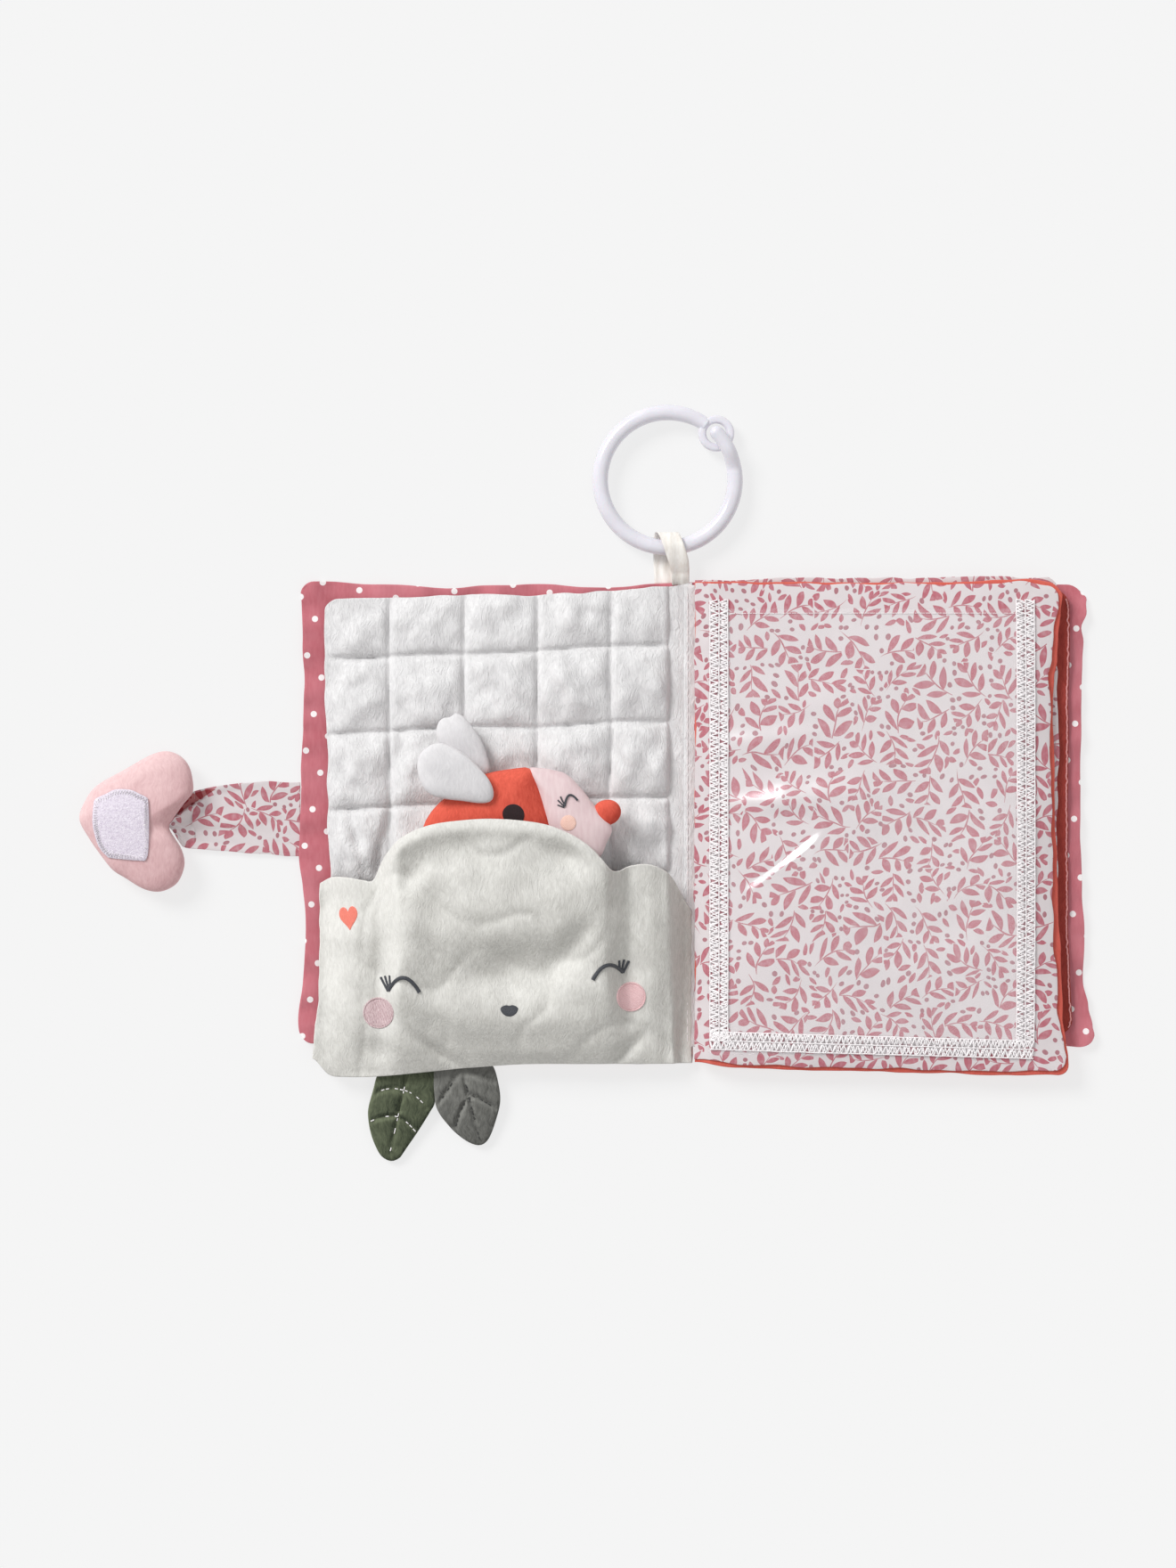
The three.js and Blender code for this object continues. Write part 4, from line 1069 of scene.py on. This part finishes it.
def traced(middle, *marks):
    """The reach, from a middle, of a smooth closed outline through places of the picture."""
    spots = [Vector(page(*mark)) - Vector(middle[:2]) for mark in marks]
    points = []
    for n, first in enumerate(spots):
        before, last, after = spots[n - 1], spots[(n + 1) % len(spots)], spots[(n + 2) % len(spots)]
        for t in (k / 8 for k in range(8)):
            bend, sway = 2 * before - 5 * first + 4 * last - after, 3 * first - before - 3 * last + after
            points.append((2 * first + (last - before) * t + bend * t ** 2 + sway * t ** 3) / 2)
    return reach_of(points)


def heart_outline(width, length, turn):
    """The reach of a plain heart whose tip points along turn."""
    points = []
    for n in range(160):
        t = 2 * math.pi * n / 160
        up = 13 * math.cos(t) - 5 * math.cos(2 * t) - 2 * math.cos(3 * t) - math.cos(4 * t)
        spot = Vector((math.sin(t) ** 3 * width / 2, (up - 11.9) / 28.9 * length + length * 0.42))
        spot.rotate(Matrix.Rotation(turn + math.pi / 2, 2))
        points.append(spot)
    return reach_of(points)


def make_sleeping_face():
    """Two closed eyes with lashes, cheeks, a small mouth and a heart, embroidered on the pocket."""
    def patch(name, middle, reach, rise, finish, *fineness):
        return patch_on(name, middle, reach, lambda x, y: cloud_top(x, y) - 0.05, rise, finish, *fineness)

    lids, lashes = [], []
    for lid, lash_marks in (
            (((437, 1111), (454, 1096.5), (471.5, 1113)),
             (((436, 1112), (427.5, 1097)), ((437, 1109.5), (432.5, 1095.5)),
              ((438.5, 1107), (438, 1094.5)))),
            (((665.5, 1099), (681, 1083), (699, 1091)),
             (((699.5, 1092), (706, 1078.5)), ((698, 1090), (700.5, 1077)),
              ((695.5, 1087.5), (695, 1078))))):
        lids.append([on_cloud(x, y, 0.15) for x, y in arc(*lid)])
        for marks in lash_marks:
            root, tip = (Vector(page(*mark)) for mark in marks)
            lashes.append([on_cloud(*(root + (tip - root) * n / 6), 0.15) for n in range(7)])
    pieces = [
        sewn("cloud_eyes", lids, 0.72, dark_thread, 10),
        sewn("cloud_eyelashes", lashes, 0.48, dark_thread, 8),
        patch("cloud_mouth_stitches", page(572, 1131),
              lambda a: 3.3 * (1.0 - 0.72 * max(0.0, math.sin(a))) / (1 + 0.1 * max(0.0, -math.sin(a))),
              0.45, dark_thread, 48, 16)]
    for name, middle, radius, finish in (("left_cheek", page(425, 1137), 5.2, rose_stitch),
                                         ("right_cheek", page(708.5, 1119), 4.9, blush_stitch)):
        pieces.append(patch(name, middle, lambda a, r=radius: r, 0.35, finish))
        ring = [on_cloud(*off(middle, radius + 0.25, n * math.pi / 30), 0.1) for n in range(61)]
        pieces.append(sewn(name + "_edge", [ring], 0.32, finish))
    pieces.append(patch("small_heart_stitches", page(391.5, 1029.5),
                        heart_outline(7.0, 9.2, -math.pi / 2 + 0.12), 0.4, coral_stitch))
    settle("thread", "pocket_leaf", *pieces)


# Bird in the pocket
def make_bird():
    body_middle, head_middle = page(548, 934), page(638, 916)
    body_reach = traced(body_middle, (476, 934), (481, 918), (494, 902), (515, 886), (545, 870), (575, 864),
                        (596, 863.5), (604, 880), (612, 903), (618.5, 922), (621, 945), (612, 975),
                        (585, 998), (545, 1004), (505, 990), (482, 962))
    head_reach = traced(head_middle, (593, 862.5), (606, 862), (620, 864), (636, 869), (651, 883), (668, 905),
                        (686.5, 928), (681, 946), (672, 963), (650, 966), (626, 956), (616, 935), (607, 900),
                        (600, 878))
    for name, node_name, slot, form in (
            ("bird_body_velour", "bird_body", "bird_coral", (
                bird_velour, (*body_middle, 19.0), body_reach, 25.0, 13.0, 96, 40, 0.75,
                lambda x, y, out: 0.5 * lump(x, y, 12.0, 4.0))),
            ("bird_head_satin", "bird_head", "pale_satin", (
                head_satin, (*head_middle, 18.6), head_reach, 23.6, 13.0, 96, 40, 0.75,
                lambda x, y, out: 0.4 * lump(x, y, 9.0, 2.0))),
            ("bird_beak_velour", "bird_beak", "bird_coral", (
                bird_velour, (*page(681, 912), 18.4), lambda a: 5.0 + 0.3 * math.cos(2 * a - 0.6), 21.8, 15.2,
                40, 20))):
        settle(slot, "bird", stuffed(name, *form), nodes=(node_name,), fill=0.8)

    def top_of(middle, reach, low, high):
        return lambda x, y: low + (high - low) * max(0.0, 1 - out_share(middle, reach, x, y) ** 2) ** 0.375

    body_level = top_of(body_middle, body_reach, 19.0, 25.0)
    head_level = top_of(head_middle, head_reach, 18.6, 23.6)

    def on_head(*curves):
        return [[(x, y, head_level(x, y) + 0.2) for x, y in arc(*marks, 12)] for marks in curves]

    settle("thread", "bird",
           patch_on("bird_spot", page(576.5, 915), lambda a: 4.1, body_level, 0.3, plum_thread, 48, 16),
           sewn("bird_eye", on_head(((634, 905), (639, 892.5), (648.5, 898.5))), 0.4, dark_thread, 8),
           sewn("bird_eyelashes", on_head(
               ((634.3, 904.5), (631.6, 899.3), (629.3, 894)), ((633.8, 905.5), (630, 901.8), (626.3, 898)),
               ((633.6, 906.5), (629.8, 905), (626, 903.5))), 0.26, dark_thread, 8),
           patch_on("bird_cheek", page(638, 923.5), lambda a: 2.9, head_level, 0.3, peach_stitch, 40, 16))
    seam = [(*off(body_middle, body_reach(a), a), 19.0) for a in (math.radians(n * 5) for n in range(73))]
    settle("bird_coral", "bird", sewn("bird_seam", [seam], 0.28, bird_velour))


def make_wings():
    for name, middle, marks, low, high, node_name in (
            ("near_wing_plush", (511, 868), (
                (469.5, 862), (474, 845), (491, 834.5), (508, 838.5), (526, 850), (540, 863.5), (550, 876),
                (554.8, 889), (552, 899), (540, 901.5), (520, 899), (502, 897), (486, 893), (475, 881)),
             21.5, 28.4, "bird_near_wing"),
            ("far_wing_plush", (519, 838), (
                (491.5, 830), (490.5, 816), (496, 807), (506, 804.5), (511.5, 800.5), (521, 805), (532, 818),
                (541, 832), (547.5, 850), (549.5, 866), (541, 871), (528, 866), (511, 854), (498, 843)),
             13.2, 19.6, "bird_far_wing")):
        middle = page(*middle)
        wing = stuffed(name, wing_plush, (*middle, (low + high) / 2), traced(middle, *marks), high, low, 84, 36,
                       fullness=0.6, detail=lambda x, y, out: 0.4 * lump(x, y, 8.0, 5.0))
        settle("white_plush", node_name, wing, nodes=(node_name,), fill=0.7)


# Leaf tabs
def make_leaf_tabs():
    for name, middle, marks, veins, finish, slot, thread in (
            ("green_leaf", (448, 1250), (
                (421.5, 1210), (417.5, 1225), (412.5, 1243), (411.4, 1255), (414, 1273), (419.5, 1289),
                (426.5, 1301), (437, 1306.5), (447, 1303), (453, 1294.5), (467.7, 1273), (482, 1250),
                (487, 1240), (486.5, 1223), (487, 1204), (478, 1193), (430, 1193)), (
                ((456.5, 1206), (449, 1240), (436, 1298)), ((452, 1226), (436, 1224), (421, 1229)),
                ((453, 1226), (466, 1233), (478, 1246)), ((446, 1256), (430, 1256), (413, 1262)),
                ((446, 1256), (456, 1263), (466, 1274))), green_velvet, "green_velvet", white_thread),
            ("grey_leaf", (522, 1236), (
                (484.6, 1211), (486, 1228), (488, 1243), (493, 1254), (501.5, 1265), (511, 1275),
                (524, 1284.5), (535, 1288.5), (543, 1286.5), (549.5, 1278), (556, 1260), (560.8, 1240),
                (559.4, 1221), (553, 1199), (541, 1193), (500, 1193), (488, 1199)), (
                ((517, 1198), (526, 1236), (538, 1284)), ((517, 1200), (505, 1220), (491, 1241)),
                ((524, 1230), (540, 1237), (556, 1247)), ((521, 1240), (515, 1253), (510, 1268)),
                ((519, 1207), (538, 1210), (555, 1217))), grey_velvet, "grey_velvet", grey_thread)):
        middle = page(*middle)
        paths = [arc(*vein, 40) for vein in veins]
        reach = traced(middle, *marks)

        def edge(y):
            return 4.45 - 2.4 * smooth((-95.3 - y) / 34.0)

        def top(x, y):
            out = out_share(middle, reach, x, y)
            away = min(math.dist((x, y), spot) for path in paths for spot in path[::2])
            swell = 1.5 * max(0.0, 1 - out * out) ** 0.3
            return edge(y) + swell - 0.9 * math.exp(-(away / 0.8) ** 2) * (1 - out ** 6)

        def spot(angle, out, height):
            out = out ** 1.3
            x, y = off(middle, reach(angle) * out, angle)
            level = top(x, y) + 0.25 * lump(x, y, 4.0, 6.0) * (1 - out)
            return x, y, level if height > 0 else 2 * edge(y) - level if height < 0 else edge(y)

        form = ball(96, 48, spot)
        bmesh.ops.remove_doubles(form, verts=form.verts, dist=0.001)
        hinge = ("pocket_leaf", name + "_tab", (0, -94.6, 0), (0, -97.5, 0))
        settle(slot, hinge, finish_piece(name + "_velvet", form, finish), nodes=(name + "_tab",), fill=0.4)
        stitches = []
        for path in paths:
            count = round(math.dist(path[0], path[-1]) / 1.7)
            for n in range(count):
                run = [path[round((n + shift) / count * 40)] for shift in (0.15, 0.45, 0.75)]
                if max(y for x, y in run) < -99.0 and rough(*run[0], 2.0) > -0.1:
                    stitches.append([(*place, top(*place) + lift) for place, lift in zip(run, (0.1, 0.5, 0.1))])
        settle("thread", name + "_tab", sewn(name + "_veins", stitches, 0.2, thread))


# Closure strap, heart and its hook patch
STRAP_ROOT, STRAP_END, STRAP_MIDDLE = -145.4, -185.2, -2.0


def strap_half(along):
    """Half of the strap's width, from its narrow end at 0 to the cover at 1."""
    return 10.2 + 3.5 * along ** 0.7


def strap_fold(x, y):
    """A fold by the heart: the height of its rolled edge, and 1 where the cloth lies low beyond it."""
    first, last = Vector(page(186, 921)), Vector(page(241, 886))
    side, spot = (last - first).normalized(), Vector((x, y)) - first
    reach = spot.dot(side) / (last - first).length
    away = spot.dot(Vector((-side.y, side.x)))
    lip = 2.8 * math.exp(-(away / 2.2) ** 2) * smooth((0.5 - away) / 1.2) * smooth((0.82 - reach) * 4)
    return lip, smooth((away + 0.4) / 0.8) * smooth((1.0 - reach) * 5)


def strap_top(x, y):
    along = min(1.0, max(0.0, (x - STRAP_END) / (STRAP_ROOT - STRAP_END)))
    across = (y - STRAP_MIDDLE) / strap_half(along)
    ripple = (1 - along) ** 2 * 0.75 * math.cos(across * 5.5)
    crease = 0.35 * rough(across * 4, x / 12, 1.0)
    lip, beyond = strap_fold(x, y)
    return max(1.5, 1.75 + ripple + crease) * (1 - 0.42 * beyond) + lip


def make_strap():
    def spot(u, v, upper):
        along, across = u + 0.5, v * 2
        x = STRAP_END + (STRAP_ROOT - STRAP_END) * along - 3.2 * (1 - along) ** 4 * smooth(-across)
        bulge = 1.3 * math.sin(math.pi * along) * max(0.0, across)
        waver = 0.35 * rough(x / 7, across * 2, 4.0)
        y = STRAP_MIDDLE + strap_half(along) * across + bulge + waver
        return x, y, strap_top(x, y) if upper else 0.35

    strap = cloth("strap_cotton", print_cloth, 66, 44, spot, 0.4)
    settle("sprig_print", STRAP_HINGE, strap, nodes=("closure_strap",), fill=0.1)
    middle = page(222, 893)
    # The fold's underside, in the print darkened by painted shade.
    painted_shade_patch = patch_on("strap_underside_painted_shade", middle, traced(
        middle, (240, 886.2), (234, 889), (227, 893.6), (220, 898.2), (214.5, 901.6), (214.5, 896),
        (214.5, 890.8), (219, 889.2), (226, 887.2), (233, 885.9)),
        lambda x, y: strap_top(x, y) + 0.03, 0.15, print_in_painted_shade, 96, 20)
    settle("sprig_print", "strap", painted_shade_patch)


HEART_MIDDLE = (-202.3, -2.0, 6.5)
HEART_REACH = traced(
    HEART_MIDDLE, (86.5, 920), (92, 901), (106, 882), (138, 863.5), (166.5, 847.5), (184, 843), (199, 847.5),
    (209.5, 859), (214, 875), (214, 890), (205, 901), (195, 915), (187.5, 929), (195, 943), (201.5, 954),
    (205, 969), (201, 984.5), (193, 995), (177, 1001.5), (159, 998.5), (138, 986), (124, 977), (111, 961),
    (96.5, 940))


def make_heart():
    def wrinkles(x, y, out):
        pull = -2.4 * math.exp(-((y + 4.0 - 0.25 * (x + 197)) / 3.4) ** 2) * smooth((x + 203) / 12.0)
        return pull + 0.7 * lump(x, y, 12.0, 8.0) * (1 - out) + 0.3 * lump(x, y, 5.0, 3.0) * out
    heart = stuffed("heart_velour_form", heart_velour, HEART_MIDDLE, HEART_REACH, 2 * HEART_MIDDLE[2], 0.0,
                    144, 56, 0.7, wrinkles)
    settle("heart_velour", "heart", heart, nodes=("heart_tab",), fill=0.85)


def heart_level(x, y):
    return HEART_MIDDLE[2] * (1 + max(0.0, 1 - out_share(HEART_MIDDLE, HEART_REACH, x, y) ** 2) ** 0.35)


def make_hook_patch():
    middle = page(135, 926)
    reach = traced(middle, (104, 900), (107, 896), (118, 891), (129, 886), (146, 886.5), (156, 891),
                   (164, 895), (166, 900), (167, 926), (166, 956), (163, 965), (158, 966.5), (124, 963.5),
                   (118, 961), (110, 952), (105, 938), (102.5, 922))
    patch = patch_on("hook_patch_tape", middle, reach, lambda x, y: heart_level(x, y) + 0.35, 0.75, tape,
                     96, 30)
    settle("fastener_tape", "heart", patch, nodes=("closure_hook_patch",))
    line = []
    for n in range(150):
        angle = 2 * math.pi * n / 150
        x, y = off(middle, reach(angle) - 1.2 + (0.75 if n % 2 else -0.75), angle)
        line.append((x, y, heart_level(x, y) + 1.0))
    settle("thread", "heart", sewn("hook_patch_sewing", [line + line[:1]], 0.13, white_thread))


def make_strap_gathers():
    """The strap's end, pleated into the notch of the heart."""
    def place(x, y):
        narrow = 1 - 0.76 * smooth((-188.4 - x) / 6.0) ** 0.75
        return x, STRAP_MIDDLE + (y - STRAP_MIDDLE) * narrow

    def over(x, y):
        along = smooth((-184.6 - x) / 10.4)
        pleats = 0.9 * math.sin((y - STRAP_MIDDLE) * (0.9 + 2.7 * along))
        lip, beyond = strap_fold(x, y)
        level = 1.9 + 4.7 * along + pleats * (0.15 + 0.85 * along)
        return level * (1 - 0.3 * beyond) + lip * (1 - 0.6 * along)

    gathers = layer("strap_gathers", (-195.0, -184.4, -12.2, 8.2), print_cloth, place, over,
                    lambda x, y: max(0.1, over(x, y) - 2.2), pitch=0.45, rim=0.4)
    settle("sprig_print", "heart", gathers, nodes=("strap_gathered_end",))
    middle = page(208, 900)
    # The fold's underside on the gathers, in the print darkened by painted shade.
    painted_shade_patch = patch_on("gathers_underside_painted_shade", middle, traced(
        middle, (215, 901.4), (208, 905.8), (201, 910.6), (194, 915), (196, 909), (202, 901), (208, 894),
        (213, 890.5), (215, 891.5), (215, 896)), lambda x, y: over(x, y) + 0.1, 0.2, print_in_painted_shade, 96, 20)
    settle("sprig_print", "heart", painted_shade_patch)


# Ribbon and ring
RING_MIDDLE, RING_RADIUS, RING_TUBE, RING_LEVEL = (-9.5, 123.4), 24.9, 2.9, 4.4
EYELET_ANGLE, EYELET_RADIUS, EYELET_LEVEL = math.pi * 0.243, 5.2, 3.2
SEAM_Y, LOOP_Y = 84.6, 98.5


def make_ribbon():
    """A ribbon round the bottom of the ring: out under it, and back over it to the same seam."""
    route = [(SEAM_Y + 13.9 * n / 10, 1.3 - 0.9 * n / 10) for n in range(10)]
    bend = [math.pi * n / 16 for n in range(17)]
    route += [(LOOP_Y + 5.6 * math.sin(angle), 4.6 - 4.2 * math.cos(angle)) for angle in bend]
    route += [(LOOP_Y - 1.02 * n, 8.8 - 0.53 * n + 0.9 * math.sin(math.pi * n / 10)) for n in range(1, 11)]
    route.append((SEAM_Y, 3.2))
    count = len(route) - 1
    form = bmesh.new()
    bmesh.ops.create_grid(form, x_segments=10, y_segments=count, size=0.5)
    for vertex in form.verts:
        across, n = vertex.co.x, round((vertex.co.y + 0.5) * count)
        y, z = route[n]
        back = smooth((n - 12) / (count - 12))
        pinch = 1.0 - 0.18 * smooth((n - count + 8) / 8) - 0.1 * smooth((8 - n) / 8)
        wrinkle = 0.16 * math.sin(across * 11 + n * 0.35) + 0.1 * rough(across * 9, n * 0.12, 3.0)
        curl = 0.5 * (across * 2) ** 4
        vertex.co = (-10.8 + 6.1 * back + 7.8 * across * pinch, y + curl * 0.2, z + wrinkle + curl * 0.3)
    bmesh.ops.solidify(form, geom=form.faces[:], thickness=0.4)
    ribbon = finish_piece("ribbon_satin_loop", form, ribbon_satin)
    settle("cream_satin", "ribbon", ribbon, nodes=("ribbon_loop",))


def make_ring():
    """A split ring: one end is an eyelet, the other rises over it and dips into its hole."""
    steps, start, end = 140, EYELET_ANGLE + math.pi * 0.064, EYELET_ANGLE + 2 * math.pi
    path = []
    for n in range(steps + 1):
        angle = start + (end - start) * n / steps
        rise = 3.7 * smooth((angle - (end - math.pi * 0.2)) / (math.pi * 0.12))
        dip = 0.9 * (1 - smooth(n / 12))
        path.append((*off(RING_MIDDLE, RING_RADIUS, angle), RING_LEVEL + rise - dip))
    form = tubes("ring_path", [path], RING_TUBE, 18,
                 lambda n: 0.9 + 0.1 * smooth(n / 12) - 0.1 * smooth((n - 118) / 22))
    x, y = off(RING_MIDDLE, RING_RADIUS, EYELET_ANGLE)
    profile = bmesh.ops.create_circle(form, segments=20, radius=1.0)["verts"]
    for vertex in profile:
        across, tall = (abs(v) ** 0.55 * math.copysign(half, v) for v, half in zip(vertex.co, (1.5, 2.1)))
        vertex.co = (x + EYELET_RADIUS + across, y, EYELET_LEVEL + tall)
    rim = list({edge for vertex in profile for edge in vertex.link_edges})
    bmesh.ops.spin(form, geom=profile + rim, cent=(x, y, 0), axis=(0, 0, 1), angle=2 * math.pi, steps=56,
                   use_merge=True)
    tip = bmesh.ops.create_uvsphere(form, u_segments=32, v_segments=16, radius=1.0)["verts"]
    for vertex in tip:
        wide = 2.5
        tall = wide if vertex.co.z > 0 else 5.2
        vertex.co = (x + wide * vertex.co.x, y + wide * vertex.co.y, 8.1 + tall * vertex.co.z)
    settle("white_plastic", "ring", finish_piece("link_ring_plastic", form, plastic), nodes=("link_ring",))


def make_gutter_tape():
    binding = layer("gutter_tape", (-3.3, 3.3, -86.0, 84.6), white_plush, straight,
                    lambda x, y: 4.1 + 0.15 * lump(x, y, 6.0, 2.0), lambda x, y: 2.95, rim=0.3)
    settle("white_plush", SPINE, binding, nodes=("gutter_binding",))
    lines = [[(x, y, 4.3), (x, y + 1.2, 4.45), (x, y + 2.4, 4.3)]
             for x in (-2.2, 2.2) for y in (-84.0 + 3.2 * n for n in range(52))]
    settle("thread", SPINE, sewn("gutter_stitches", lines, 0.14, white_thread))


def make_mating_patch():
    patch = layer("loop_patch_tape", (105.0, 131.0, -14.5, 10.5), tape, straight,
                  lambda x, y: 0.8, lambda x, y: 0.05, rim=0.2)
    settle("fastener_tape", SPINE, patch, nodes=("closure_loop_patch",))


for make in (make_covers, make_lining, make_right_leaves, make_pocket_leaf, make_film, make_film_sewing,
             make_cloud_pocket, make_sleeping_face, make_bird, make_wings, make_leaf_tabs, make_strap,
             make_heart, make_hook_patch, make_strap_gathers, make_ribbon, make_ring, make_gutter_tape,
             make_mating_patch):
    make()


# Light and floor
def make_sun(name, aim, power, spread_angle):
    data = bpy.data.lights.new(name, "SUN")
    data.energy = power
    data.angle = math.radians(spread_angle)
    made = bpy.data.objects.new(name, data)
    made.rotation_euler = Vector(aim).to_track_quat("-Z", "Y").to_euler()
    bpy.context.scene.collection.objects.link(made)


def make_studio():
    world = bpy.data.worlds.new("soft_studio")
    world.use_nodes = True
    bpy.context.scene.world = world
    tree = world.node_tree
    tree.nodes.clear()
    camera = node(tree, "ShaderNodeLightPath", None, "Is Camera Ray")
    mirrored = calc("MAXIMUM", camera.out("Is Glossy Ray"), camera.out("Is Transmission Ray"))
    seen = calc("MAXIMUM", camera, mirrored)
    lit = node(tree, "ShaderNodeBackground", {"Color": (1, 1, 1, 1), "Strength": 0.48})
    plain = node(tree, "ShaderNodeBackground", {"Color": screen(244, 244, 244), "Strength": 1.0})
    both = node(tree, "ShaderNodeMixShader", {0: seen, 1: lit, 2: plain})
    fill(tree.nodes.new("ShaderNodeOutputWorld"), {"Surface": both})
    make_sun("window_light", (0.75, -0.72, -0.8), 2.3, 24.0)
    make_sun("fill_light", (-0.5, 0.3, -1.0), 0.35, 60.0)

    form = bmesh.new()
    bmesh.ops.create_grid(form, x_segments=1, y_segments=1, size=3000)
    bmesh.ops.translate(form, vec=(0, 0, -0.05), verts=form.verts)
    floor_paint = bpy.data.materials.new("pale_floor")
    floor_paint.use_nodes = True
    fill(floor_paint.node_tree.nodes["Principled BSDF"], {
        "Base Color": screen(120, 120, 120), "Roughness": 0.9, "Specular IOR Level": 0.0,
        "Emission Color": screen(244, 244, 244), "Emission Strength": 0.797})
    finish_piece("pale_floor", form, floor_paint)


make_studio()
bpy.context.scene.view_settings.view_transform = "Standard"
